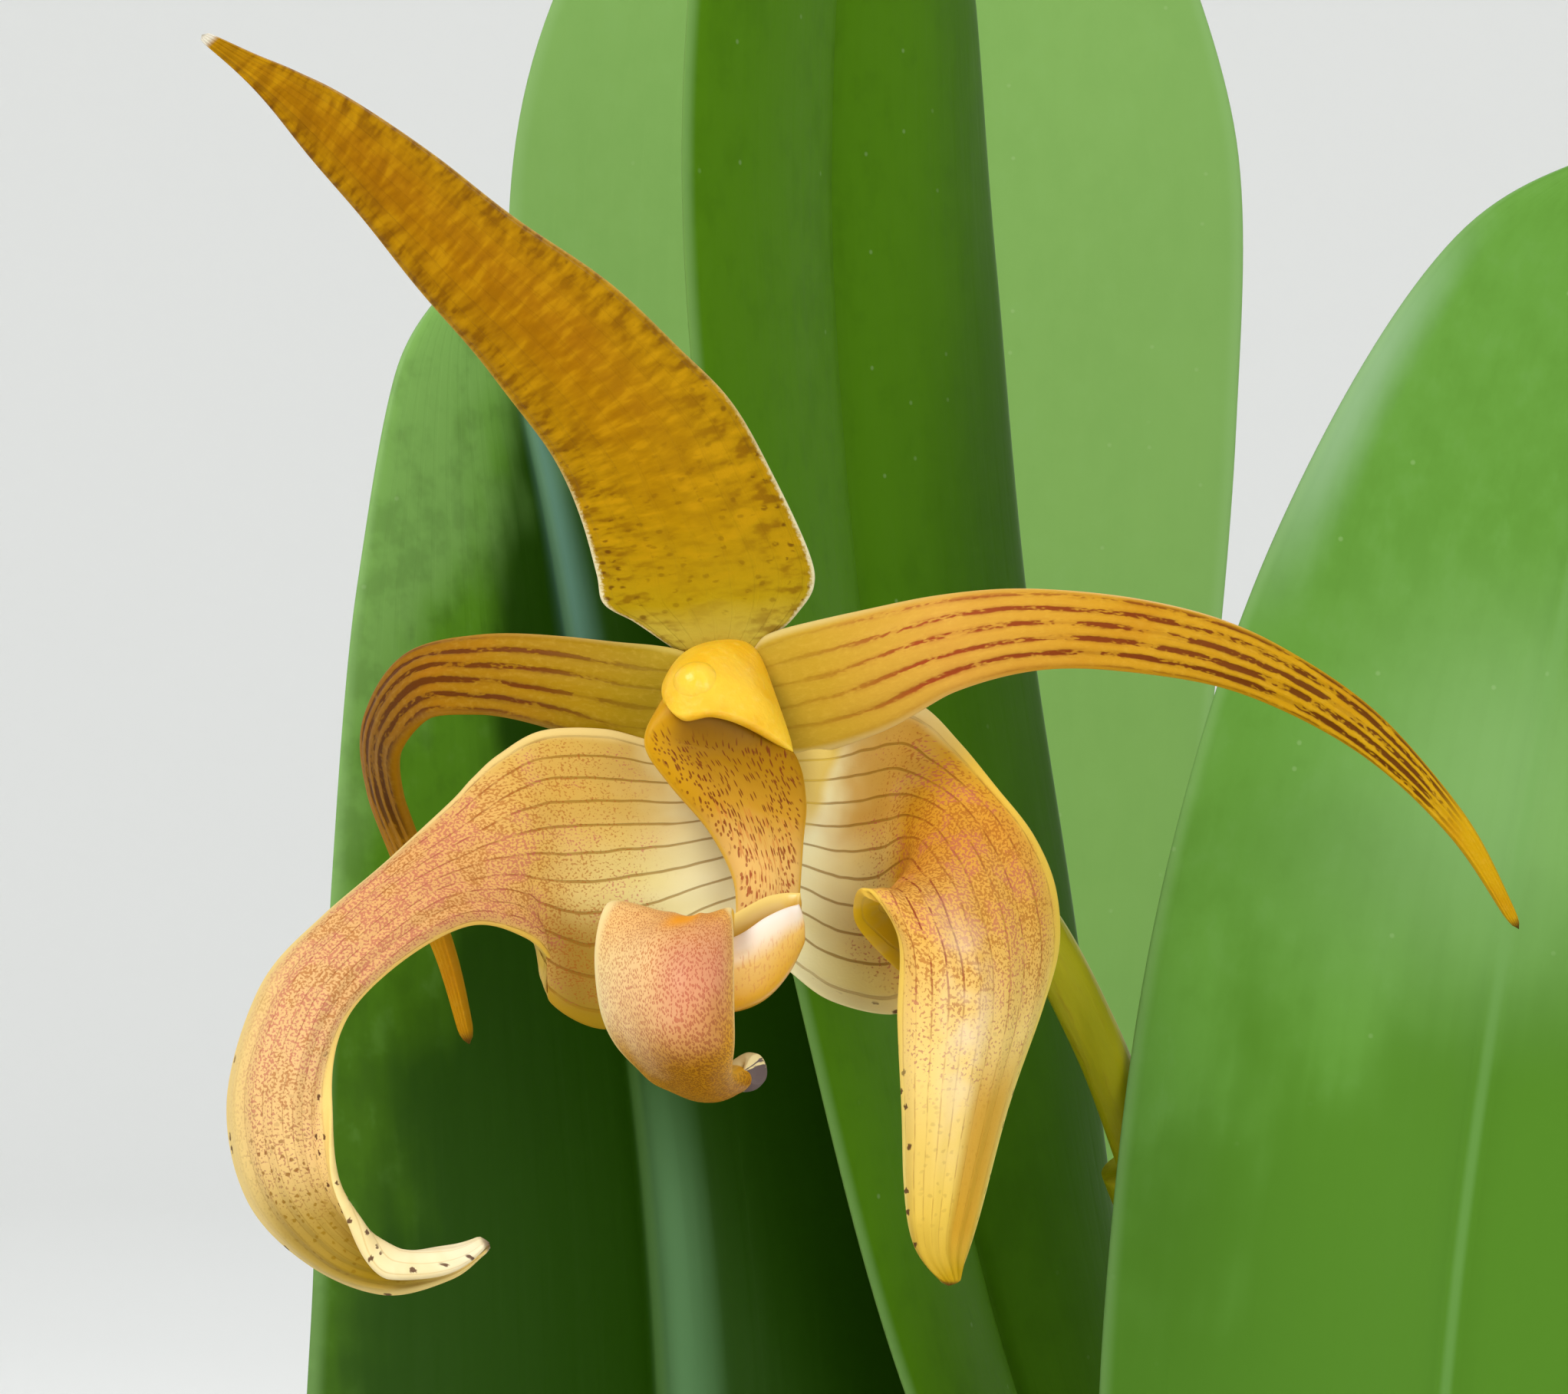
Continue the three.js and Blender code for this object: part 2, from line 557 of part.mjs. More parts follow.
// Creeping stem: its lines run through the pseudobulbs, and roots leave it at each of them
function rhizomeLine(line) {
  const stops = line.map((k) => [BULBS[k].x, BULBS[k].y]);
  const [before, end] = stops.slice(-2);
  const run = Math.hypot(end[0] - before[0], end[1] - before[1]);
  const tip = [0, 1].map((k) => end[k] + ((end[k] - before[k]) / run) * RHIZOME_TIP);
  return [...stops, tip].map(([x, y]) => [x, y, RHIZOME.axis]);
}
function rhizomeParts(roots, grow) {
  const parts = RHIZOME_LINES.map((line) => {
    const points = rhizomeLine(line);
    const steps = RHIZOME.rings * (points.length - 1);
    const ringed = (t) => 1 + RHIZOME.ringed * Math.cos((t * steps * Math.PI * 2) / 3);
    const taper = (t) => 1 - Math.max(0, t - RHIZOME.tipFrom) * RHIZOME.tipSlope;
    const radius = (t) => RHIZOME.radius * ringed(t) * taper(t) + grow;
    return limb(points, radius, { sides: RHIZOME.sides, steps });
  });
  const rootRadius = (t) => ROOT.radius * THREE.MathUtils.lerp(...ROOT.taper, t) + grow;
  for (const root of roots) parts.push(limb(root, rootRadius, ROOT));
  return parts;
}
function rootPaths() {
  const paths = [];
  for (const bulb of BULBS)
    for (let k = 0; k < ROOT.perJoint; k++) {
      const away = between(0, Math.PI * 2);
      const inward = -bulb.x * Math.cos(away) - bulb.y * Math.sin(away);
      const toWall = inward + Math.sqrt(inward ** 2 + ROOT.ring ** 2 - bulb.x ** 2 - bulb.y ** 2);
      const reach = Math.min(ROOT.reach, toWall);
      const swing = between(-ROOT.swing, ROOT.swing);
      const course = ROOT_COURSE.map(([share, depth, bend]) => [
        bulb.x + reach * share * Math.cos(away + swing * bend),
        bulb.y + reach * share * Math.sin(away + swing * bend),
        RHIZOME.axis - depth,
      ]);
      paths.push(course);
    }
  return paths;
}

// Pseudobulb: an egg with soft furrows, which narrows to the leaf's stalk
function bulbSolid({ x, y, height, radius }, grow = 0) {
  const profile = through(BULB_PROFILE.map((share) => [share]));
  const points = [0, 0.35, 0.7, 1].map((t) => {
    const lean = 1 + BULB_LEAN * t;
    return [x * lean, y * lean, RHIZOME.axis + height * t];
  });
  const furrow = (angle) => 1 + FURROWS.depth * Math.cos(angle * FURROWS.count);
  return limb(points, (t, angle) => radius * profile(t)[0] * furrow(angle) + grow, { sides: 10, steps: 8 });
}

// Flower pieces
const FRONT = [0, -1, 0];
function pedicelSolid(grow) {
  const radius = (t) => PEDICEL_RADIUS * (1 + OVARY_SWELL * (1 - t) ** 3) + grow;
  return limb(shifted(PEDICEL, FLOWER), radius, { sides: 9, steps: 14 });
}
function flowerSolids() {
  const rails = (rows, thick, mesh) => (grow) =>
    blade(railSheet(rows, FLOWER), { ...mesh, thick, grow });
  const spine = (rows, thick, mesh) => (grow) =>
    blade(spineSheet(rows, FLOWER, FRONT, petalSection), { ...mesh, thick, grow });
  const foot = rails(FOOT, FOOT_THICK, { along: 12, across: 5 });
  const stub = (grow) => {
    const row = through(COLUMN);
    const path = shifted(COLUMN, FLOWER).map(([x, y, z]) => [x, y, z]);
    return limb(path, (t) => row(t)[3] + grow, { sides: 12, steps: 6 });
  };
  const column = (grow) => join([foot(grow), stub(grow)]);
  const dorsal = spine(DORSAL, SEPAL_THICK, { along: 20, across: 6 });
  const lateralLeft = rails(LATERAL_LEFT, SEPAL_THICK, { along: 26, across: 5 });
  const lateralRight = rails(LATERAL_RIGHT, SEPAL_THICK, { along: 30, across: 5 });
  const petalLeft = spine(PETAL_LEFT, PETAL_THICK, { along: 20, across: 4 });
  const petalRight = spine(PETAL_RIGHT, PETAL_THICK, { along: 18, across: 4 });
  const lip = rails(LIP, LIP_THICK, { along: 22, across: 5 });
  const anther = new THREE.SphereGeometry(1, 12, 8)
    .scale(...ANTHER.size)
    .translate(...new THREE.Vector3(...ANTHER.at).add(FLOWER));
  return {
    column: column(0),
    anther_cap: clearOf(solidOf(anther), [column(GAP)]),
    pedicel_with_ovary: clearOf(pedicelSolid(0), [column(GAP)]),
    dorsal_sepal: clearOf(dorsal(0), [column(GAP), pedicelSolid(GAP)]),
    petal_left: clearOf(petalLeft(0), [column(GAP), pedicelSolid(GAP), dorsal(GAP)]),
    petal_right: clearOf(petalRight(0), [column(GAP), pedicelSolid(GAP), dorsal(GAP)]),
    lateral_sepal_left: clearOf(lateralLeft(0), [column(GAP), pedicelSolid(GAP), petalLeft(GAP)]),
    lateral_sepal_right: clearOf(lateralRight(0), [
      column(GAP),
      pedicelSolid(GAP),
      petalRight(GAP),
      lateralLeft(GAP),
    ]),
    lip: clearOf(lip(0), [column(GAP), lateralLeft(GAP), lateralRight(GAP)]),
  };
}

// Flower stem with its sheaths, and the bract that cups the pedicel at its top
function scapeSolid(grow) {
  const lift = (t) => {
    if (t < BRACT.share) return BRACT.lift * (1 - t / BRACT.share / 2);
    const place = SCAPE_SHEATHS.find((start) => t >= start && t < start + SHEATH.share);
    return place === undefined ? 0 : SHEATH.lift * (1 - (t - place) / SHEATH.share);
  };
  const radius = (t) => SCAPE_RADIUS * (1 + SCAPE_TAPER * t) + lift(t) + grow;
  return limb(shifted(SCAPE, FLOWER), radius, { sides: 8, steps: 26 });
}

const plant = new THREE.Group();
function place(name, solid, material) {
  const mesh = solid.getMesh();
  const geometry = new THREE.BufferGeometry()
    .setAttribute("position", new THREE.BufferAttribute(mesh.vertProperties, 3))
    .setIndex(new THREE.BufferAttribute(mesh.triVerts, 1));
  geometry.computeVertexNormals();
  const made = new THREE.Mesh(geometry, material);
  made.name = name;
  plant.add(made);
}

const roots = rootPaths();
const rhizomeGrown = join(rhizomeParts(roots, GAP));
const rhizome = join(rhizomeParts(roots, 0));
const flower = flowerSolids();
const bulbs = BULBS.map((bulb) => clearOf(bulbSolid(bulb), [rhizomeGrown]));
const bulbsGrown = BULBS.map((bulb) => bulbSolid(bulb, GAP));

place("pot", potSolid(), CLAY);
place("potting_medium", clearOf(mediumSolid(), [rhizomeGrown, ...bulbsGrown, scapeSolid(GAP)]), BARK);
place("rhizome_with_roots", rhizome, RHIZOME_BROWN);
bulbs.forEach((bulb, k) => place(`pseudobulb_${k + 1}`, bulb, BULB_GREEN));
LEAVES.forEach(({ face, rows }, k) => {
  const sheet = spineSheet(rows, new THREE.Vector3(), face, leafSection);
  const leaf = blade(sheet, { along: 18, across: 6, thick: LEAF_THICK });
  place(`leaf_${k + 1}`, clearOf(leaf, [bulbsGrown[k]]), LEAF_GREEN);
});
place("scape", clearOf(scapeSolid(0), [rhizomeGrown, pedicelSolid(GAP)]), STEM_GREEN);
place("pedicel_with_ovary", flower.pedicel_with_ovary, STEM_GREEN);
place("dorsal_sepal", flower.dorsal_sepal, SEPAL_OCHRE);
place("lateral_sepal_left", flower.lateral_sepal_left, LATERAL_CREAM);
place("lateral_sepal_right", flower.lateral_sepal_right, LATERAL_CREAM);
place("petal_left", flower.petal_left, PETAL_GOLD);
place("petal_right", flower.petal_right, PETAL_GOLD);
place("column", flower.column, COLUMN_YELLOW);
place("anther_cap", flower.anther_cap, ANTHER_YELLOW);
place("lip", flower.lip, LIP_ORANGE);

export default plant;
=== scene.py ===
import math

import bmesh
import bpy
import numpy as np
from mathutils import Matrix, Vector


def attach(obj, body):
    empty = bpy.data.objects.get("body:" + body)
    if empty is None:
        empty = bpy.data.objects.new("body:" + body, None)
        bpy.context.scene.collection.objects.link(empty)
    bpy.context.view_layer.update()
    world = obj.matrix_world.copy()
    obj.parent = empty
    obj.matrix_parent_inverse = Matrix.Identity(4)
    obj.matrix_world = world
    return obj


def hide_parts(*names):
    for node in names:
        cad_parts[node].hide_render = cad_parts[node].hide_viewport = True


# Looks of the potted orchid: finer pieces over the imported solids, their procedural materials,
# the camera, the lights and the stage. Lengths are millimetres until a mesh is made.

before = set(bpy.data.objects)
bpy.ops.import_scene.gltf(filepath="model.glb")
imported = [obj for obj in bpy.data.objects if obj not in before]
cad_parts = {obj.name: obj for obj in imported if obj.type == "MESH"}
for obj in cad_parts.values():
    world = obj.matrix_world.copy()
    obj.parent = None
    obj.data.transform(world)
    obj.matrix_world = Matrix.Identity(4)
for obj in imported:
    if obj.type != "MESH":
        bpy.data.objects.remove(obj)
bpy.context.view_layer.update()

MM = 0.001
FULL_TURN = 2 * math.pi
PHOTO_SIZE = (2044, 1817)
PHOTO_SCALE = 22.995  # photo pixels to a millimetre at the flower
CAMERA_DISTANCE = 450.0
CAMERA_ASIDE = 3.78  # how far the photo's centre is to the right of the flower's hub
CAMERA_BELOW = 2.4
SENSOR = 36.0
HUB = np.array([-14.0, -45.0, 262.0])

# Sizes that the solids have too
POT = dict(height=120, foot=48, neck=62, rim=70, rim_height=22, wall=5, floor=7, edge=1.5, flare=0.6)
DRAIN = dict(radius=5, ring=26, count=4)
MEDIUM = dict(top=106, dome=3, shoulder=0.7, shoulder_rise=0.6, gap=0.36, under=0.3)
RHIZOME = dict(axis=109.6, radius=3.2, tip=8)
ROOT = dict(radius=1.25, reach=26, ring=52, swing=0.4, per_joint=2)
ROOT_COURSE = [(0, 0, 0), (0.3, 0.6, 0), (0.65, 1.6, 1), (0.9, 6, 1), (1, 16, 1)]
SEED = 11
BULBS = [
    (-20, -10, 36, 11),
    (28, 10, 38, 11.5),
    (0, 44, 40, 12),
    (22, -24, 34, 10.5),
    (-37, 24, 34, 11),
    (-28, -38, 28, 9),
]
BULB_PROFILE = [0.42, 0.8, 1, 0.96, 0.76, 0.5, 0.3]
BULB_LEAN = 0.02
RHIZOME_LINES = [[2, 4, 0, 5], [2, 1, 3]]
SEPAL_THICK = (1.2, 0.7)
PETAL_THICK = (1.1, 0.7)
LIP_THICK = (1.8, 0.8)
FOOT_THICK = (2.6, 1.1)
LEAF_THICK = (2.4, 0.9)
LATERAL_THICK = dict(left=(1, 0.55), right=(1.1, 0.6))
HOOD_THICK = (0.9, 0.5)
HUSK_THICK = (0.3, 0.2)

# Three rails from the hub: outer edge, middle and inner edge, base to tip
LATERAL_LEFT = [
    [[-1.5, 1.2, -4.8], [0.8, 0.8, -10.3], [2, -1, -16.6]],
    [[-3.5, 0.8, -4.9], [-1.4, 0, -10.7], [0, -2, -17.8]],
    [[-6.5, 1, -4.2], [-4.7, 0.5, -11.1], [-2.9, 0, -20.2]],
    [[-10, 1, -4.3], [-8.4, 0, -11.3], [-6.5, 1.2, -21.3]],
    [[-12.4, 0.5, -5.7], [-10.6, -1, -11.3], [-9.5, 0.6, -19.7]],
    [[-13.8, 0, -7], [-11.9, -1.5, -11.5], [-9.5, -0.3, -17.6]],
    [[-15.1, -0.5, -8.4], [-13.4, -2, -11.9], [-10.9, -1.5, -16]],
    [[-18.3, -2, -11.3], [-16.5, -3.5, -13.2], [-13.9, -3, -15.3]],
    [[-22.2, -4, -14.8], [-20.1, -5.5, -16.1], [-18, -5, -17.5]],
    [[-25.6, -5.5, -18.8], [-23.1, -7.5, -19.7], [-20.9, -6.5, -20.6]],
    [[-27.4, -6, -24.8], [-24.5, -8.5, -24.7], [-22.1, -7.5, -25.1]],
    [[-26.1, -6.5, -30.5], [-23.7, -9, -29.5], [-21.6, -8.5, -29.4]],
    [[-22.6, -8, -34.1], [-21, -9.5, -32.9], [-19.6, -9.5, -31.9]],
    [[-18.4, -9.5, -35.6], [-17.7, -10, -34.2], [-17.1, -10.5, -33.1]],
    [[-14.6, -11, -34.6], [-14.6, -11.2, -33.7], [-14.4, -11.5, -32.8]],
    [[-12.5, -11.5, -33], [-12.3, -11.5, -32.6], [-12.1, -11.5, -32.3]],
]
LATERAL_RIGHT = [
    [[4, 1.2, -4.4], [3.2, 0.8, -10.5], [2.4, -1.5, -16.6]],
    [[6.2, 0.8, -4], [5.1, 0.8, -10.9], [3.9, -2, -17.8]],
    [[8.7, 2, -3.1], [7.1, 3, -11.2], [6.4, 0.5, -19.6]],
    [[11.4, 3.5, -2.8], [9.2, 5, -11], [10, 3.5, -20.5]],
    [[13.9, 3.5, -5.1], [11, 4.5, -10.5], [12.1, 3, -19.4]],
    [[16.1, 3, -7.8], [12, 2, -10.9], [10, 0, -17.6]],
    [[18.1, 2.5, -10.5], [12.6, -1, -12.2], [7.8, -2, -15.1]],
    [[19.3, 2, -13.2], [13.5, -4, -14.3], [8.2, -4.5, -13.1]],
    [[19.4, 1, -16.3], [14.3, -6, -17.4], [10.2, -5.5, -15.8]],
    [[18.4, 0, -19.8], [14.3, -6.5, -20.8], [10.2, -6, -20.4]],
    [[16.8, -1.5, -24.6], [13.6, -6.5, -25.2], [10.3, -6.5, -25.2]],
    [[15.3, -3, -29.4], [12.9, -6.5, -29.6], [10.5, -6.5, -29.6]],
    [[14.1, -4.5, -33.2], [12.5, -6.5, -33.1], [11.1, -6.5, -32.9]],
    [[13.3, -6, -35.3], [13, -6.3, -35.3], [12.6, -6.5, -35.2]],
]
LIP = [
    [[-0.8, -11, -18.3], [-0.2, -11.8, -17.8], [0.6, -11.4, -17.4]],
    [[-3.2, -10.8, -16.2], [-1, -11.6, -16.8], [0.8, -11.2, -16.2]],
    [[-5.2, -11.5, -14], [-1.5, -12.6, -15.7], [0.9, -11.8, -14.8]],
    [[-6.1, -13.2, -14], [-1.5, -15, -15.3], [0.9, -13.8, -14]],
    [[-6.6, -14, -16.7], [-2.1, -18, -16.3], [0.9, -15.5, -15.2]],
    [[-6.2, -14, -19.9], [-2.2, -19.5, -18.6], [1, -17.5, -17.8]],
    [[-4.8, -13.5, -22.2], [-1.8, -19, -21.2], [1, -17.5, -20.8]],
    [[-2.9, -12, -23.8], [-0.9, -15.6, -22.9], [0.9, -15.6, -22.3]],
    [[-0.6, -10.9, -24.4], [0.2, -12.6, -23.7], [0.9, -13.2, -22.9]],
    [[0.75, -10.2, -23.9], [0.95, -10.9, -23.5], [1.15, -11.4, -22.9]],
    [[1.5, -10.2, -24.2], [1.35, -10, -23.4], [1.3, -10.6, -22.7]],
    [[1.95, -10.5, -24.1], [1.85, -10.1, -23.2], [1.65, -10.7, -22.3]],
    [[2.25, -10.8, -23.7], [2.2, -10.6, -23], [2.05, -10.9, -22.4]],
]
# The gutter that the lip stands in, from its right end to the left: far rim, walls and near rim
LIP_BASE = [
    [[4.7, -8.4, -13.3], [4.75, -8.2, -14.2], [4.75, -8.9, -15.4], [4.75, -9.6, -14.8],
     [4.6, -9.4, -13.9]],
    [[3.9, -8.2, -13.3], [3.8, -8.4, -15.6], [3.75, -9.8, -17.4], [3.75, -11.3, -15.6],
     [3.8, -10.7, -14.1]],
    [[2.8, -8.5, -13.5], [2.6, -8.9, -16.6], [2.6, -10.6, -18.7], [2.6, -12.6, -16.4],
     [2.7, -11.8, -14.6]],
    [[1.6, -9, -14.1], [1.4, -9.5, -17.2], [1.3, -11.2, -19.3], [1.4, -13.4, -17], [1.5, -12.5, -15.4]],
    [[0.2, -9.8, -14.9], [0.1, -10.2, -17.4], [0.1, -11.6, -19.3], [0, -13.6, -17.4], [0.1, -13, -16]],
    [[-1.3, -10.8, -15.5], [-1.3, -11, -17.2], [-1.3, -12, -18.5], [-1.4, -13.4, -17.5],
     [-1.4, -13.2, -16.5]],
]
FOOT = [
    [[-1.9, -0.6, -1.4], [-0.4, -0.9, -1.8], [1.8, -0.5, -1.5]],
    [[-3.3, -3.3, -2.9], [-0.4, -2.6, -3.2], [2.7, -1.6, -3.5]],
    [[-4, -4.3, -5], [0, -2.4, -5.5], [4.5, -3, -5.8]],
    [[-2.7, -4.3, -7.1], [1.2, -2.8, -7.7], [5, -3.8, -8.2]],
    [[-0.5, -4.5, -9.6], [2.3, -3.8, -10.4], [4.8, -4.5, -10.6]],
    [[1, -5.5, -12.4], [2.9, -5, -13], [4.6, -5.5, -13.2]],
    [[1.2, -7.5, -15.2], [2.9, -6.8, -15.4], [4.5, -7, -15.3]],
    [[1.3, -8.8, -16.8], [2.6, -8.6, -17.2], [3.8, -8.4, -17]],
    [[1.4, -9.8, -17.8], [2.2, -10, -18.1], [2.9, -9.8, -17.9]],
]
# The hood over the anther cap, from its back to its mouth, each row from left to right
HOOD = [
    [[-1.9, 2.6, -1.6], [-1, 2.9, -0.3], [0.4, 3, 0.2], [1.6, 2.8, 0.1], [2.4, 2.2, -1.2]],
    [[-2.6, 0.6, -1.5], [-1.5, 0.5, -0.1], [0.3, 0.3, 0.4], [1.8, 0, 0.1], [2.9, -0.1, -1.6]],
    [[-3, -1.4, -1.7], [-1.9, -2, -0.6], [-0.1, -2.2, -0.1], [1.9, -1.8, -1], [3.6, -1.2, -3.3]],
    [[-3.1, -3, -2.1], [-2, -4, -1.6], [-0.3, -4.2, -1.4], [1.9, -3.5, -2.4], [4.1, -2.4, -4.7]],
    [[-3, -3.7, -2.7], [-1.9, -4.7, -3.7], [-0.2, -4.9, -3.5], [1.8, -4.3, -4.1], [4.3, -3, -5.5]],
]
DORSAL = [
    [[-2.3, 1.5, 0.2], [-0.1, 1.5, 0.2], [2.1, 1.5, 0.1]],
    [[-3.6, 1.4, 1.1], [-0.1, 1.3, 1.2], [3.4, 1.4, 1.2]],
    [[-4.8, 1.4, 1.9], [-0.2, 1.1, 2.1], [4.5, 1.4, 2.3]],
    [[-6.5, 1.5, 2.9], [-0.5, 0.9, 3.4], [5.5, 1.5, 3.9]],
    [[-6.9, 1.5, 4.6], [-0.8, 0.6, 5.3], [5.2, 1.5, 5.9]],
    [[-7.6, 1.4, 7.3], [-2.2, 0.2, 8.6], [3.2, 1.4, 10.1]],
    [[-8.7, 1.1, 9.9], [-3.9, -0.3, 12.1], [0.8, 1.1, 14.4]],
    [[-10.2, 0.5, 12.5], [-6.2, -1, 14.9], [-2.2, 0.5, 17.5]],
    [[-12.6, -0.6, 15.6], [-9.3, -2.1, 18.2], [-6.1, -0.6, 21]],
    [[-15.7, -2.3, 19.3], [-13.3, -3.6, 21.8], [-11, -2.3, 24.4]],
    [[-19.4, -4.6, 23.8], [-17.5, -5.5, 25.7], [-15.6, -4.6, 27.8]],
    [[-22.7, -7, 27.8], [-21.6, -7.6, 29.4], [-20.6, -7, 31.1]],
    [[-24.9, -8.7, 30.5], [-24.1, -9, 31.4], [-23.3, -8.7, 32.4]],
    [[-26.7, -9.5, 32.4], [-26.2, -9.6, 32.8], [-25.6, -9.5, 33.3]],
    [[-28.7, -10, 34.1], [-28.5, -10, 34.3], [-28.3, -10, 34.5]],
]
# Spine points with half the width, the turn about the spine in degrees, and the dish of the face
PETAL_LEFT = [
    [0, 1.2, -2.6, 1.6, 0, 0],
    [-2, 0.7, -2.7, 2.9, 0, 0],
    [-5.1, 1.3, -2.45, 3.15, 0, -0.6],
    [-9.2, 2.6, -1.6, 2.7, 0, -0.6],
    [-13.7, 5, -1.1, 2.3, 0, -0.5],
    [-17.4, 7.5, -1.6, 2.2, 25, -0.4],
    [-19.6, 11, -4.4, 1.9, 50, -0.3],
    [-19.7, 14.5, -8, 1.5, 50, -0.3],
    [-18.4, 18, -11.9, 1.1, 45, -0.2],
    [-16.5, 21, -17.1, 0.65, 30, 0],
    [-14.9, 22, -23, 0.35, 20, 0],
]
PETAL_RIGHT = [
    [0.8, 1.6, -2.4, 1.7, 0, 0],
    [3.3, 1, -2.35, 3.5, 0, 0],
    [7.8, 0, -1.2, 3.55, 0, -0.6],
    [12.7, -0.8, 0.6, 2.8, 0, -0.6],
    [18.4, -1.2, 1.4, 2.3, 0, -0.5],
    [24.3, -0.8, 1, 2.05, 0, -0.5],
    [30.7, 0.5, -0.75, 1.72, 0, -0.4],
    [36.8, 2, -4.3, 1.2, 0, -0.3],
    [42.2, 3.5, -9.7, 0.74, 0, 0],
    [45.9, 5, -15.7, 0.3, 0, 0],
]
# Points of the column with its radius at each
COLUMN = [[0.4, 3.2, -1.9, 1.9], [0.3, 1.2, -2.1, 2.3], [0.1, -1.2, -2.6, 2.1], [-0.1, -2.6, -3, 1.6]]
ANTHER = dict(at=(-1.1, -3.9, -1.75), size=(1.4, 1.3, 1.35), cleft_at=0.15, cleft_width=0.12, cleft=0.05)
PEDICEL = [
    [0.8, 4, -2.6],
    [4, 8.5, -5],
    [11, 12, -9.4],
    [17.4, 14.5, -14.4],
    [22, 17.5, -22.2],
    [25.9, 21.6, -32.4],
]
PEDICEL_RADIUS = 1.5
SCAPE = [
    [25.2, 20.8, -30],
    [26.4, 22.2, -34],
    [29.8, 26, -50],
    [34.4, 31.5, -80],
    [39.6, 36, -112],
    [44, 38.5, -147],
]
SCAPE_RADIUS = 1.6
SCAPE_SHEATHS = [0.26, 0.54, 0.82]
SHEATH = dict(share=0.09, lift=0.6)
BRACT = dict(share=0.07, lift=1.1)
TOWARDS_VIEWER, UPWARD = (0, -1, 0), (0, 0, 1)
# Leaves, from the pot's origin, stalk to tip
LEAVES = [
    (TOWARDS_VIEWER, [
        [-19.5, -10, 143, 2.6, 30, 0],
        [-18.6, -9.5, 160, 4.5, 30, 1.5],
        [-17.6, -9, 180, 16, 30, 2],
        [-17.8, -8.5, 205, 24.5, 30, 2],
        [-19, -8.5, 228, 23, 30, 1.5],
        [-21.8, -9, 250, 19, 30, 1.5],
        [-24.6, -10, 268, 14.2, 30, 1],
        [-27.4, -11, 281, 8, 30, 0.5],
        [-28.6, -11.5, 286.5, 1.2, 30, 0],
    ]),
    (TOWARDS_VIEWER, [
        [27, 9, 145, 2.8, 40, 0],
        [20, 4.5, 170, 3.6, 50, 1],
        [10, 0.5, 198, 8.5, 58, 2],
        [2.4, -2, 219, 14, 58, 2.5],
        [-2.8, -3, 242, 16.8, 58, 2.5],
        [-6.2, -3, 264, 18, 58, 2],
        [-8, -3, 287, 18.4, 58, 2],
        [-7.6, -2, 306, 16.4, 58, 1.5],
        [-6.6, 0, 322, 11, 58, 1],
        [-5.8, 1.5, 330, 1.5, 58, 0],
    ]),
    (TOWARDS_VIEWER, [
        [0, 45, 147, 3, 0, 0],
        [-0.5, 49.5, 172, 4.2, 0, 1],
        [-1.5, 55, 198, 12, 0, 2],
        [-2.6, 60, 225, 18.4, 0, 2.5],
        [-3.4, 63.5, 252, 22.6, 0, 2.5],
        [-3.8, 65, 278, 25.4, 0, 2],
        [-3.6, 65.5, 300, 25.2, 0, 2],
        [-2.6, 65, 318, 18.5, 0, 1],
        [-2, 64, 330, 9, 0, 0.5],
        [-1.8, 63.5, 334, 1.5, 0, 0],
    ]),
    (TOWARDS_VIEWER, [
        [22.4, -24.5, 141, 2.6, -6, 0],
        [23.4, -26, 160, 4, -6, 1],
        [25, -27.5, 180, 13, -6, 1.5],
        [27.4, -28.5, 205, 19, -6, 2],
        [29.6, -29, 228, 20.5, -6, 2],
        [32.6, -29.2, 248, 20.2, -6, 1.5],
        [36, -29.6, 267, 17.2, -6, 1],
        [39.4, -30.4, 284, 10.8, -6, 0.5],
        [41.2, -31, 292, 1.6, -6, 0],
    ]),
    (UPWARD, [
        [-37.8, 24.5, 141, 2.6, 0, 0],
        [-43, 28, 158, 4, 0, 1],
        [-51, 33.5, 176, 13, 0, 1.5],
        [-64, 41, 194, 19, 0, 2],
        [-78, 48, 206, 19.5, 0, 2],
        [-93, 55, 210, 15, 0, 1.5],
        [-104, 60, 208, 8, 0, 1],
        [-110, 62.5, 205, 1.4, 0, 0],
    ]),
    (UPWARD, [
        [-28.6, -38.8, 136, 2.3, 0, 0],
        [-32.5, -45, 150, 3.5, 0, 1],
        [-39, -54, 164, 10.5, 0, 1.5],
        [-51, -67, 177, 15, 0, 2],
        [-61, -78, 184, 14.5, 0, 1.5],
        [-70, -88, 184, 9, 0, 1],
        [-76, -94.5, 181, 1.4, 0, 0],
    ]),
]
LEAF_WAVE = 0.5
LEAF_KEEL = dict(depth=0.35, width=0.7)
LIP_RIDGE = dict(aside=0.28, width=0.14, height=0.12)
# Along the left lateral sepal from FOLD_FROM to its tip: where its inner margin starts to roll,
# and how far it turns, in degrees
FOLD_FROM = 0.4
FOLD_LINE = [0.75, 0.75, 0.75, 0.72, 0.55, -0.1, -0.4]
FOLD_TURN = [0, 0, 30, 125, 165, 175, 175]
ROLL = dict(step=0.02, least_turn=1e-3, least_width=0.05, whole_from=0.5)

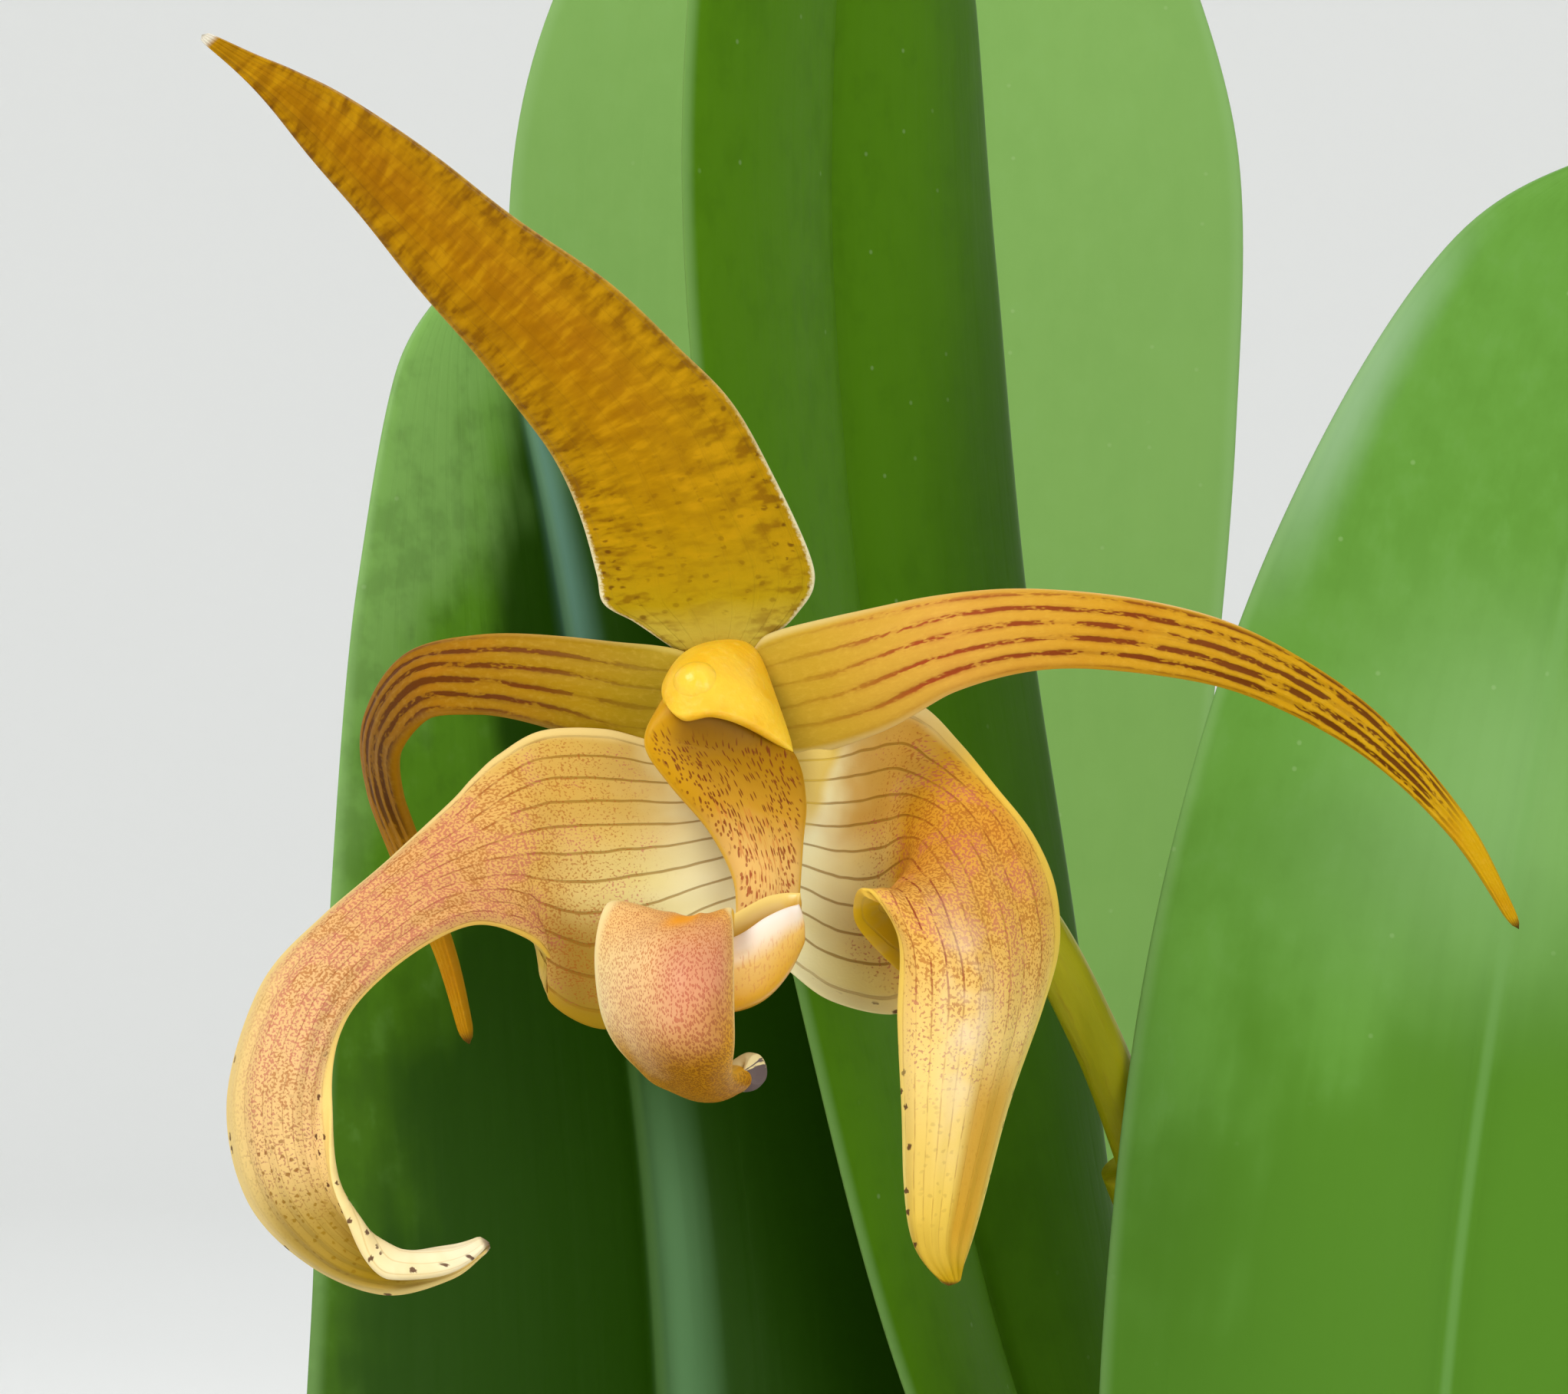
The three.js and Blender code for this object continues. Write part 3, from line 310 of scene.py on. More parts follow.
# What only this script has: dry sheaths, bark chips, perlite, moss, the stage and the lights
HUSK = dict(count=4, spread=(0.5, 0.95), reach=(0.3, 0.62), tilt=0.25, foot=0.04, stand=0.35, fray=1.6)
CHIPS = dict(count=620, sizes=((6, 14), (4, 9), (1.6, 3.6)), rise=(-1.2, 0.9), off_wall=5)
PERLITE = dict(count=70, sizes=((2, 4), (2, 4), (2, 4)), rise=(0.8, 2), off_wall=3)
MOSS = dict(count=22, size=(2.5, 6), leaves=34, leaf=(0.22, 0.16), off_wall=6)
STAGE = dict(middle=1.0, flat=900.0, floor=3600.0, curve=1200.0, wall=3600.0, steps=16, around=96)
SKY = dict(colour=(0.93, 0.96, 1, 1), strength=0.72)
WHITE = (1, 1, 1)
PLANT = (0, 0, 0.2)
# Each lamp's name, place, aim, size, watts and colour, in metres
LIGHTS = [
    ("key", (-0.8, -1.0, 1.25), PLANT, 0.8, 15, (1, 0.97, 0.92)),
    ("fill", (0.9, -1.5, 0.4), PLANT, 1.2, 11, WHITE),
    ("back", (0.5, 1.4, 1.3), PLANT, 1.0, 10, WHITE),
    ("wall", (0, 1.6, 2.2), (0, 4.6, 0.4), 1.6, 18, WHITE),
]


# Curves and sheets
THINNEST = 0.3  # the least share of its thickness that a blade keeps where its tip narrows
BLUNTEST = 0.95  # how far the edges of a blade's ends are rounded
STRETCH_POINTS = 40  # between two points of a path, before it is spaced evenly
ASKEW = (0.3, 0.9, 0.2)  # a direction that no path starts in


def unit(vectors):
    return vectors / np.maximum(np.linalg.norm(vectors, axis=-1, keepdims=True), 1e-9)


def step_up(values, low, high):
    """0 below low, 1 above high, and smooth between."""
    t = np.clip((values - low) / (high - low), 0, 1)
    return t * t * (3 - 2 * t)


def between(p0, p1, p2, p3, f):
    """A smooth curve from p1 to p2, at the share f of the way."""
    bend = (2 * p0 - 5 * p1 + 4 * p2 - p3) * f * f
    return 0.5 * (2 * p1 + (p2 - p0) * f + bend + (3 * p1 - p0 - 3 * p2 + p3) * f**3)


def heading(at, places, step=0.01):
    """Which way a curve runs at some places, from a short step to both sides."""
    return unit(at(np.minimum(places + step, 1)) - at(np.maximum(places - step, 0)))


def circle(count):
    """Evenly spaced angles all the way round."""
    return np.arange(count) / count * FULL_TURN


def through(rows):
    """A smooth curve through rows of numbers, as a function of places from 0 to 1."""
    rows = np.array(rows, float)
    last = len(rows) - 1
    padded = np.vstack([2 * rows[0] - rows[1], rows, 2 * rows[-1] - rows[-2]])

    def at(places):
        spot = np.clip(places, 0, 1) * last
        i = np.minimum(spot.astype(int), last - 1)
        return between(*(padded[i + k] for k in range(4)), (spot - i)[..., None])

    return at


def rail_sheet(rows):
    row = through([sum(rails, []) for rails in rows])

    def sheet(u, v):
        r = row(v)
        a, m, b = r[..., 0:3], r[..., 3:6], r[..., 6:9]
        u = u[..., None]
        return m + (b - a) / 2 * u + ((a + b) / 2 - m) * u * u + HUB

    return sheet


def net_sheet(rows):
    """A sheet through a net of points: a row of them for each place along it."""
    count = len(rows[0])
    row = through([sum(points, []) for points in rows])

    def sheet(u, v):
        net = row(v).reshape(*np.shape(v), count, 3)
        spot = np.clip((u + 1) / 2, 0, 1) * (count - 1)
        i = np.minimum(spot.astype(int), count - 2)
        f = (spot - i)[..., None]
        ends = 2 * net[..., :1, :] - net[..., 1:2, :], 2 * net[..., -1:, :] - net[..., -2:-1, :]
        padded = np.concatenate([ends[0], net, ends[1]], -2)
        four = (np.take_along_axis(padded, (i + k)[..., None, None], -2)[..., 0, :] for k in range(4))
        return between(*four, f) + HUB

    return sheet


def rolled(sheet, start, angle):
    """The sheet with its inner margin rolled over, from start on and by angle, at each place along."""

    def at(u, v):
        edge = start(v)
        turn = np.maximum(angle(v), ROLL["least_turn"])
        line, inner = sheet(edge, v), sheet(np.ones_like(u), v)
        ahead = heading(lambda place: sheet(edge, place), v)
        out = sheet(edge + ROLL["step"], v) - sheet(edge - ROLL["step"], v)
        out = unit(out - ahead * (out * ahead).sum(-1, keepdims=True))
        width = np.maximum(((inner - line) * out).sum(-1), ROLL["least_width"])
        radius = width / np.sin(np.minimum(turn, math.pi / 2))
        share = np.clip((u - edge) / (1 - edge), 0, None)
        swing = turn * share
        lift = np.cross(ahead, out)
        bent = line + out * (radius * np.sin(swing))[..., None]
        bent = bent + lift * (radius * (1 - np.cos(swing)))[..., None]
        taken = np.clip(turn / ROLL["whole_from"], 0, 1) * (share > 0)
        return sheet(u, v) * (1 - taken)[..., None] + bent * taken[..., None]

    return at


def spine_sheet(rows, origin, face, section):
    row = through(rows)
    face = np.array(face, float)

    def sheet(u, v):
        r = row(v)
        half, turn, dish = r[..., 3:4], np.radians(r[..., 4:5]), r[..., 5:6]
        along = heading(lambda place: row(place)[..., :3], v)
        axis_part = along * (along @ face)[..., None] * (1 - np.cos(turn))
        front = face * np.cos(turn) + np.cross(along, face) * np.sin(turn) + axis_part
        side = unit(np.cross(along, front))
        normal = np.cross(side, along)
        u = u[..., None]
        return r[..., :3] + side * half * u + normal * dish * section(u) + origin

    return sheet


def petal_section(u):
    return u * u


def leaf_section(u):
    return np.abs(u) + 0.5 * np.sin(math.pi * np.abs(u))


def ring_faces(rings, count, closed_ends=True):
    """Faces of a tube of rings with count points each, its two end points last in the list."""
    j, i = np.meshgrid(np.arange(rings - 1), np.arange(count), indexing="ij")
    nxt = (i + 1) % count
    quads = np.stack([j * count + i, j * count + nxt, (j + 1) * count + nxt, (j + 1) * count + i], -1)
    faces = quads.reshape(-1, 4).tolist()
    if closed_ends:
        first, last = rings * count, rings * count + 1
        top = (rings - 1) * count
        for k in range(count):
            n = (k + 1) % count
            faces.append([first, n, k])
            faces.append([last, top + k, top + n])
    return faces


def blade_faces(rings, across):
    """Faces of a blade whose rings go across its front and back again, with strips at both ends."""
    count = 2 * across
    faces = ring_faces(rings, count, False)
    for ring in (0, rings - 1):
        for k in range(across):
            back = [(count - k) % count, (count - k - 1) % count]
            strip = [k, k + 1, back[1], back[0]]
            strip = [ring * count + i for i in dict.fromkeys(strip)]
            faces.append(strip if ring else strip[::-1])
    return faces


def blade(sheet, along, across, thick, flip=False, relief=None, tip=0.0, margin=12, ends=0.012):
    """A closed blade round a sheet, with rounded margins: its points, faces, share and grain.

    share holds the places across and along, and the side, from 0 in front to 1 behind.
    grain holds the millimetres across from the middle line and along it.
    """
    u = np.sin(np.linspace(-1, 1, across + 1) * math.pi / 2)
    v = np.linspace(0, 1, along + 1)
    uu, vv = np.meshgrid(u, v)
    if tip:
        past = np.clip((vv - 1 + tip) / tip, 0, 1)
        narrow = np.sqrt(np.maximum(1 - past**2, 1e-4))
    else:
        narrow = np.ones_like(vv)
    wide = uu * narrow
    step = 1e-3
    du = unit(sheet(wide + step, vv) - sheet(wide - step, vv))
    dv = heading(lambda place: sheet(wide, place), vv, step)
    normal = unit(np.cross(du, dv)) * (-1 if flip else 1)
    mid = sheet(wide, vv)
    pieces_across = np.linalg.norm(np.diff(mid, axis=1), axis=2)
    s = np.concatenate([np.zeros((along + 1, 1)), np.cumsum(pieces_across, 1)], 1)
    s -= s[:, across // 2:across // 2 + 1]
    centre = mid[:, across // 2]
    t = np.concatenate([[0], np.cumsum(np.linalg.norm(np.diff(centre, axis=0), axis=1))])
    t = np.repeat(t[:, None], across + 1, 1)
    half = (thick[1] + (thick[0] - thick[1]) * (1 - uu**2)) / 2
    half = half * np.sqrt(np.maximum(1 - np.abs(uu) ** margin, 0)) * np.maximum(narrow, THINNEST)
    near_end = np.clip(1 - np.minimum(vv, 1 - vv) / ends, 0, BLUNTEST)
    half = half * np.sqrt(1 - near_end**2)
    if relief is not None:
        mid = mid + normal * relief(uu, vv, s, t)[..., None]
    front, back = mid + normal * half[..., None], mid - normal * half[..., None]

    def ring(a, b):
        joined = np.concatenate([a, b[:, -2:0:-1]], 1)
        return joined.reshape(-1, *joined.shape[2:])

    sides = np.zeros_like(uu)
    sides[:, [0, -1]] = 0.5
    share = np.stack([ring(wide, wide), ring(vv, vv), ring(sides, np.ones_like(uu))], -1)
    grain = np.stack([ring(s, s), ring(t, t), ring(0 * s, 0 * s)], -1)
    return ring(front, back), blade_faces(along + 1, across), share, grain


def round_path(points, steps):
    """Points and frames along a smooth path through the given points, evenly spaced."""
    p = np.array(points, float)
    p = np.vstack([2 * p[0] - p[1], p, 2 * p[-1] - p[-2]])
    fine = []
    for k in range(1, len(p) - 2):
        p0, p1, p2, p3 = p[k - 1:k + 3]
        d0, d1, d2 = (max(np.linalg.norm(b - a), 1e-4) ** 0.5 for a, b in ((p0, p1), (p1, p2), (p2, p3)))
        t1 = ((p1 - p0) / d0 - (p2 - p0) / (d0 + d1) + (p2 - p1) / d1) * d1
        t2 = ((p2 - p1) / d1 - (p3 - p1) / (d1 + d2) + (p3 - p2) / d2) * d1
        f = np.linspace(0, 1, STRETCH_POINTS, endpoint=k == len(p) - 3)[:, None]
        bend = -3 * p1 + 3 * p2 - 2 * t1 - t2
        fine.append(p1 + t1 * f + bend * f**2 + (2 * p1 - 2 * p2 + t1 + t2) * f**3)
    fine = np.vstack(fine)
    reach = np.concatenate([[0], np.cumsum(np.linalg.norm(np.diff(fine, axis=0), axis=1))])
    even = np.linspace(0, reach[-1], steps + 1)
    path = np.stack([np.interp(even, reach, fine[:, k]) for k in range(3)], 1)
    tangents = unit(np.gradient(path, axis=0))
    side = np.cross(tangents[0], ASKEW)
    sides = []
    for tangent in tangents:
        side = unit(side - tangent * (side @ tangent))
        sides.append(side)
    sides = np.array(sides)
    return path, sides, np.cross(tangents, sides), even


def limb(points, radius, around, steps):
    """Rings round a path. The radius is a function of place and angle, both arrays."""
    path, side, other, even = round_path(points, steps)
    place, angle = np.meshgrid(np.linspace(0, 1, steps + 1), circle(around), indexing="ij")
    r = radius(place, angle)[..., None]
    spoke = side[:, None] * np.cos(angle)[..., None] + other[:, None] * np.sin(angle)[..., None]
    rings = path[:, None] + spoke * r
    share = np.stack([np.cos(angle), place, np.sin(angle)], -1)
    length = np.repeat(even[:, None], around, 1)
    grain = np.stack([np.cos(angle) * r[..., 0], length, np.sin(angle) * r[..., 0]], -1)
    flat = [np.vstack([g.reshape(-1, 3), g[0].mean(0), g[-1].mean(0)]) for g in (rings, share, grain)]
    return flat[0], ring_faces(steps + 1, around), flat[1], flat[2]


def together(*parts):
    """Several sets of points, faces, share and grain as one, with the index of each face's material."""
    points, faces, shares, grains, slots = [], [], [], [], []
    start = 0
    for index, (p, f, share, grain) in enumerate(parts):
        points.append(p)
        shares.append(share)
        grains.append(grain)
        faces += [[k + start for k in face] for face in f]
        slots += [index] * len(f)
        start += len(p)
    return np.vstack(points), faces, np.vstack(shares), np.vstack(grains), slots


def add_object(name, data):
    made = bpy.data.objects.new(name, data)
    bpy.context.scene.collection.objects.link(made)
    return made


def piece(name, made, materials, replaces=(), smooth=True):
    """A Blender object from points in millimetres, placed, riding on the root body."""
    points, faces, share, grain = made[:4]
    slots = made[4] if len(made) > 4 else None
    mesh = bpy.data.meshes.new(name)
    mesh.from_pydata((np.asarray(points) * MM).tolist(), [], faces)
    for label, values in (("share", share), ("grain", grain)):
        layer = mesh.attributes.new(label, "FLOAT_VECTOR", "POINT")
        layer.data.foreach_set("vector", np.asarray(values, np.float32).ravel())
    materials = materials if isinstance(materials, (list, tuple)) else [materials]
    for material in materials:
        mesh.materials.append(material)
    if slots is not None and len(materials) > 1:
        mesh.polygons.foreach_set("material_index", np.array(slots, np.int32))
    tidy = bmesh.new()
    tidy.from_mesh(mesh)
    bmesh.ops.recalc_face_normals(tidy, faces=tidy.faces)
    tidy.to_mesh(mesh)
    tidy.free()
    mesh.polygons.foreach_set("use_smooth", np.full(len(mesh.polygons), smooth))
    mesh.update()
    made_object = add_object(name, mesh)
    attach(made_object, "root")
    if replaces:
        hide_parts(*replaces)
    return made_object


# Materials
def rgb(red, green, blue):
    """A linear colour from the 0 to 255 values that a screen shows."""
    shares = [c / 255 for c in (red, green, blue)]
    return (*[c / 12.92 if c <= 0.04045 else ((c + 0.055) / 1.055) ** 2.4 for c in shares], 1.0)


class Value:
    """Something that a material's nodes work out, with ordinary sums on it."""

    def __init__(self, paint, socket):
        self.paint = paint
        self.socket = socket

    def __add__(self, other):
        return self.paint.sum("ADD", self, other)

    def __sub__(self, other):
        return self.paint.sum("SUBTRACT", self, other)

    def __rsub__(self, other):
        return self.paint.sum("SUBTRACT", other, self)

    def __mul__(self, other):
        return self.paint.sum("MULTIPLY", self, other)

    def __abs__(self):
        return self.paint.sum("ABSOLUTE", self)

    __radd__ = __add__
    __rmul__ = __mul__


class Paint:
    """A material that is built up by calls. Its colour so far is in colour.

    A plain colour is given by the 0 to 255 values that a screen shows.
    """

    def __init__(self, name):
        self.material = bpy.data.materials.new(name)
        self.material.use_nodes = True
        self.nodes = self.material.node_tree.nodes
        self.links = self.material.node_tree.links
        self.nodes.clear()
        self.colour = None

    def put(self, socket, value):
        if isinstance(value, Value):
            self.links.new(value.socket, socket)
        else:
            socket.default_value = value

    def node(self, kind, inputs=None, **settings):
        made = self.nodes.new(kind)
        for key, value in settings.items():
            setattr(made, key, value)
        for key, value in (inputs or {}).items():
            self.put(made.inputs[key], value)
        return made

    def sum(self, operation, *values):
        made = self.node("ShaderNodeMath", operation=operation)
        for socket, value in zip(made.inputs, values):
            self.put(socket, value)
        return Value(self, made.outputs[0])

    def parts(self, vector):
        split = self.node("ShaderNodeSeparateXYZ", {"Vector": vector})
        return [Value(self, socket) for socket in split.outputs]

    def attribute(self, name):
        read = self.node("ShaderNodeAttribute", attribute_name=name)
        return self.parts(Value(self, read.outputs["Vector"]))

    def blade_places(self):
        """A blade's places across and along, its side, and the millimetres across and along."""
        return [*self.attribute("share"), *self.attribute("grain")[:2]]

    def place(self):
        """The point on the object in millimetres."""
        read = self.node("ShaderNodeTexCoord")
        return [axis * (1 / MM) for axis in self.parts(Value(self, read.outputs["Object"]))]

    def point(self, x, y=0.0, z=0.0):
        made = self.node("ShaderNodeCombineXYZ", {"X": x, "Y": y, "Z": z})
        return Value(self, made.outputs[0])

    def noise(self, at, detail=2.0, rough=0.5, scale=1.0):
        inputs = {"Vector": self.point(*at), "Scale": scale, "Detail": detail, "Roughness": rough}
        return Value(self, self.node("ShaderNodeTexNoise", inputs).outputs[0])

    def cells(self, at, scale=1.0, flat=True):
        """How far the nearest of many scattered points is, and a random number for each point."""
        made = self.node("ShaderNodeTexVoronoi", {"Vector": self.point(*at), "Scale": scale},
                         voronoi_dimensions="2D" if flat else "3D")
        chance = self.parts(Value(self, made.outputs["Color"]))[0]
        return Value(self, made.outputs["Distance"]), chance

    def rise(self, value, low, high):
        """0 where the value is below low, 1 above high, and smooth between."""
        inputs = {"Value": value, "From Min": low, "From Max": high}
        made = self.node("ShaderNodeMapRange", inputs, interpolation_type="SMOOTHSTEP")
        return Value(self, made.outputs[0])

    def fall(self, value, low, high):
        return 1 - self.rise(value, low, high)

    def band(self, value, low, high, soft):
        return self.rise(value, low - soft, low + soft) * self.fall(value, high - soft, high + soft)

    def mix(self, factor, first, second):
        made = self.node("ShaderNodeMix", data_type="RGBA")
        self.put(made.inputs[0], factor)
        for place, tone in ((6, first), (7, second)):
            self.put(made.inputs[place], tone if isinstance(tone, Value) else rgb(*tone))
        return Value(self, made.outputs[2])

    def lay(self, weight, tone):
        """Puts a tone over the colour so far."""
        self.colour = self.mix(weight, self.colour, tone)

    def two_tone(self, cloud, low, high):
        """Starts the colour: one tone where the noise is low, another where it is high."""
        self.colour = self.mix(self.rise(cloud, 0.35, 0.65), low, high)

    def graded(self, value, stops):
        made = self.node("ShaderNodeValToRGB", {"Fac": value})
        elements = made.color_ramp.elements
        for k, (place, colour) in enumerate(stops):
            stop = elements[k] if k < 2 else elements.new(place)
            stop.position, stop.color = place, colour
        return Value(self, made.outputs[0])

    def ramp(self, value, stops):
        """A colour that changes with the value, through rows of a value and a plain colour."""
        return self.graded(value, [(place, rgb(*tone)) for place, *tone in stops])

    def ramp_value(self, value, stops):
        """A number that changes with the value, through (value, number) stops."""
        return self.parts(self.graded(value, [(place, (n, n, n, 1)) for place, n in stops]))[0]

    def lines(self, across, count, width, wave):
        """Even lines along a blade: 1 on a line, 0 between. Across runs from -1 to 1."""
        at = across * (count / 2) + count / 2 + wave
        off = abs(self.sum("FRACT", at) - 0.5)
        return self.fall(off, width * 0.4, width)

    def skin(self, roughness, height=None, depth=0.1, through_light=0.0, glow=None, gloss=0.3, tint=None,
             **fixed):
        """The shader: its fixed numbers go on its own sockets, and depth is the bump's, in mm."""
        inputs = {"Base Color": self.colour, "Roughness": roughness, "Specular IOR Level": gloss}
        if tint:
            inputs["Specular Tint"] = (*tint, 1)
        inputs.update({key.replace("_", " ").title(): value for key, value in fixed.items()})
        shader = self.node("ShaderNodeBsdfPrincipled", inputs)
        surface = shader.outputs[0]
        bump = None
        if height is not None:
            bump = self.node("ShaderNodeBump", {"Height": height, "Distance": depth * MM})
            self.links.new(bump.outputs[0], shader.inputs["Normal"])
        if through_light:
            thin = self.node("ShaderNodeBsdfTranslucent", {"Color": glow or self.colour})
            if bump:
                self.links.new(bump.outputs[0], thin.inputs["Normal"])
            both = self.node("ShaderNodeMixShader")
            both.inputs[0].default_value = through_light
            self.links.new(surface, both.inputs[1])
            self.links.new(thin.outputs[0], both.inputs[2])
            surface = both.outputs[0]
        end = self.node("ShaderNodeOutputMaterial")
        self.links.new(surface, end.inputs["Surface"])
        return self.material


def leaf_paint(name, light, deep, sheen, seed, dusk, shine, rib=0.3, streaks=(), gloss=0.15, low=None):
    """A leaf's green with a deep and a pale part.

    dusk and shine say where those lie: u's share, v's share and the range in which they come in.
    The deep part, where dusk puts it, is painted shade where the leaf turns away or lies behind another
    leaf. The pale part is a painted sheen. rib is how far the pale midrib shows; it is laid in the sheen
    tone, so it is partly painted sheen. low darkens the leaf towards its stalk, between two places.
    streaks are painted soft reflections along the midrib, as (u from, u to, v from, v to, colour).
    """
    p = Paint(name)
    u, v, back, s, t = p.blade_places()
    broad = p.noise((s * 0.09, t * 0.05, seed), 3, 0.55)
    streak = p.noise((s * 0.5, t * 0.02, seed + 3), 2, 0.55)
    mottled = p.noise((s * 0.5, t * 0.35, seed + 5), 3, 0.6)
    wander = (broad - 0.5) * 0.4 + (streak - 0.5) * 0.1
    if low:
        light = p.mix(p.fall(v + (broad - 0.5) * 0.1, low[0], low[1]), light, low[2])
    # Painted shade: the deep tone where dusk puts it.
    shade = p.rise(u * dusk[0] + v * dusk[1] + wander, *dusk[2:])
    p.colour = p.mix(shade, light, deep)
    # Painted sheen: the pale tone where shine puts it.
    p.lay(p.rise(u * shine[0] + v * shine[1] + wander, *shine[2:]), sheen)
    p.lay(p.rise(mottled + (broad - 0.5) * 0.5, 0.45, 0.7) * 0.22, deep)
    p.lay(p.fall(mottled, 0.3, 0.48) * (1 - shade) * 0.14, sheen)
    # Painted reflections: soft pale streaks beside the midrib.
    for u_from, u_to, v_from, v_to, tone in streaks:
        aside = p.band(u + (streak - 0.5) * 0.06, u_from, u_to, (u_to - u_from) * 0.5)
        p.lay(aside * p.band(v, v_from, v_to, 0.05) * 0.8, tone)
    vein = p.lines(u, 26, 0.2, (streak - 0.5) * 0.4)
    p.lay(vein * 0.02, deep)
    spot, chance = p.cells((s, t), 0.3)
    dots = p.fall(spot, 0.02, 0.06) * p.rise(chance, 0.78, 0.82)
    p.lay(dots * (1 - shade) * 0.16, (190, 212, 160))
    # The pale midrib, laid in the sheen tone: partly its own colour, partly painted sheen.
    groove = p.fall(abs(s), 0.1, 0.7)
    p.lay(groove * rib, sheen)
    # A pale margin: partly its own colour, partly a painted highlight where the edge catches the light.
    p.lay(p.rise(abs(u), 0.95, 0.995) * 0.3, (150, 188, 126))
    p.lay(p.fall(v, 0.02, 0.16) * 0.5, (150, 170, 80))
    p.lay(back * 0.4, (122, 154, 78))
    height = streak * 0.5 + mottled * 0.3 - vein * 0.05
    rough = 0.38 + p.noise((s * 0.3, t * 0.1, seed + 9), 1) * 0.2
    glow = p.mix(0.5, p.colour, (130, 190, 20))
    return p.skin(rough, height, 0.08, 0.1, glow, gloss=gloss, tint=(0.8, 1, 0.6))


def dorsal_paint():
    p = Paint("dorsal_sepal_ochre")
    u, v, back, s, t = p.blade_places()
    cloud = p.noise((s * 0.2, t * 0.22, 2), 3, 0.6)
    blotch = p.noise((s * 0.5, t * 1.3, 6), 2, 0.5)
    small = p.noise((s * 1.2, t * 2.6, 9), 2, 0.5)
    fine = p.noise((s * 4.0, t * 5.0, 1), 2, 0.6)
    p.colour = p.ramp(v + (cloud - 0.5) * 0.08, [
        (0.1, 190, 168, 60), (0.2, 174, 144, 10), (0.34, 172, 130, 0), (0.6, 172, 122, 0),
        (0.86, 176, 124, 0), (0.96, 180, 130, 6),
    ])
    # Darker orange down the middle of the outer half: partly the sepal's own orange, partly painted shade
    # where the face leans forward and turns down.
    middle = p.fall(abs(u), 0.1, 0.9) * p.band(v, 0.42, 0.9, 0.15)
    p.lay(middle * (0.25 + cloud * 0.35), (156, 88, 0))
    dark = p.rise(blotch + (small - 0.5) * 0.5, 0.46, 0.68) * p.fall(v, 0.93, 0.98)
    weight = 0.18 + p.rise(abs(u), 0.25, 0.85) * 0.42 + p.rise(v, 0.5, 0.8) * 0.12
    p.lay(dark * weight, (108, 58, 0))
    pale = p.fall(blotch + (small - 0.5) * 0.3, 0.3, 0.5) * p.rise(v, 0.2, 0.4)
    p.lay(pale * 0.4, (212, 158, 10))
    fleck, chance = p.cells((s * 1.0, t * 1.4), 1.3)
    near = p.fall(v, 0.32, 0.5) * 0.5 + p.rise(abs(u), 0.55, 0.85) * 0.6
    patches = p.rise(small, 0.45, 0.55)
    drawn = p.fall(fleck, 0.14, 0.34) * p.rise(chance, 0.45, 0.5)
    flecks = drawn * near * p.band(v, 0.14, 0.88, 0.05) * patches
    p.lay(flecks * 0.7, (96, 52, 2))
    vein = p.lines(u, 9, 0.12, (cloud - 0.5) * 0.3)
    p.lay(vein * 0.06 * p.rise(v, 0.2, 0.4), (120, 72, 0))
    p.lay(p.rise(abs(u) + (fine - 0.5) * 0.08, 0.92, 0.985) * 0.5, (214, 176, 60))
    fuzz = p.rise(abs(u) + (fine - 0.5) * 0.1, 0.93, 0.99) * p.fall(v, 0.3, 0.5)
    p.lay(fuzz, (236, 226, 184))
    p.lay(p.rise(v, 0.978, 0.99), (236, 230, 214))
    p.lay(back * 0.5, (206, 168, 44))
    height = fine * 0.3 + blotch * 0.5 - vein * 0.2
    return p.skin(0.6, height, 0.1, 0.14, gloss=0.16, tint=(1, 0.8, 0.35))


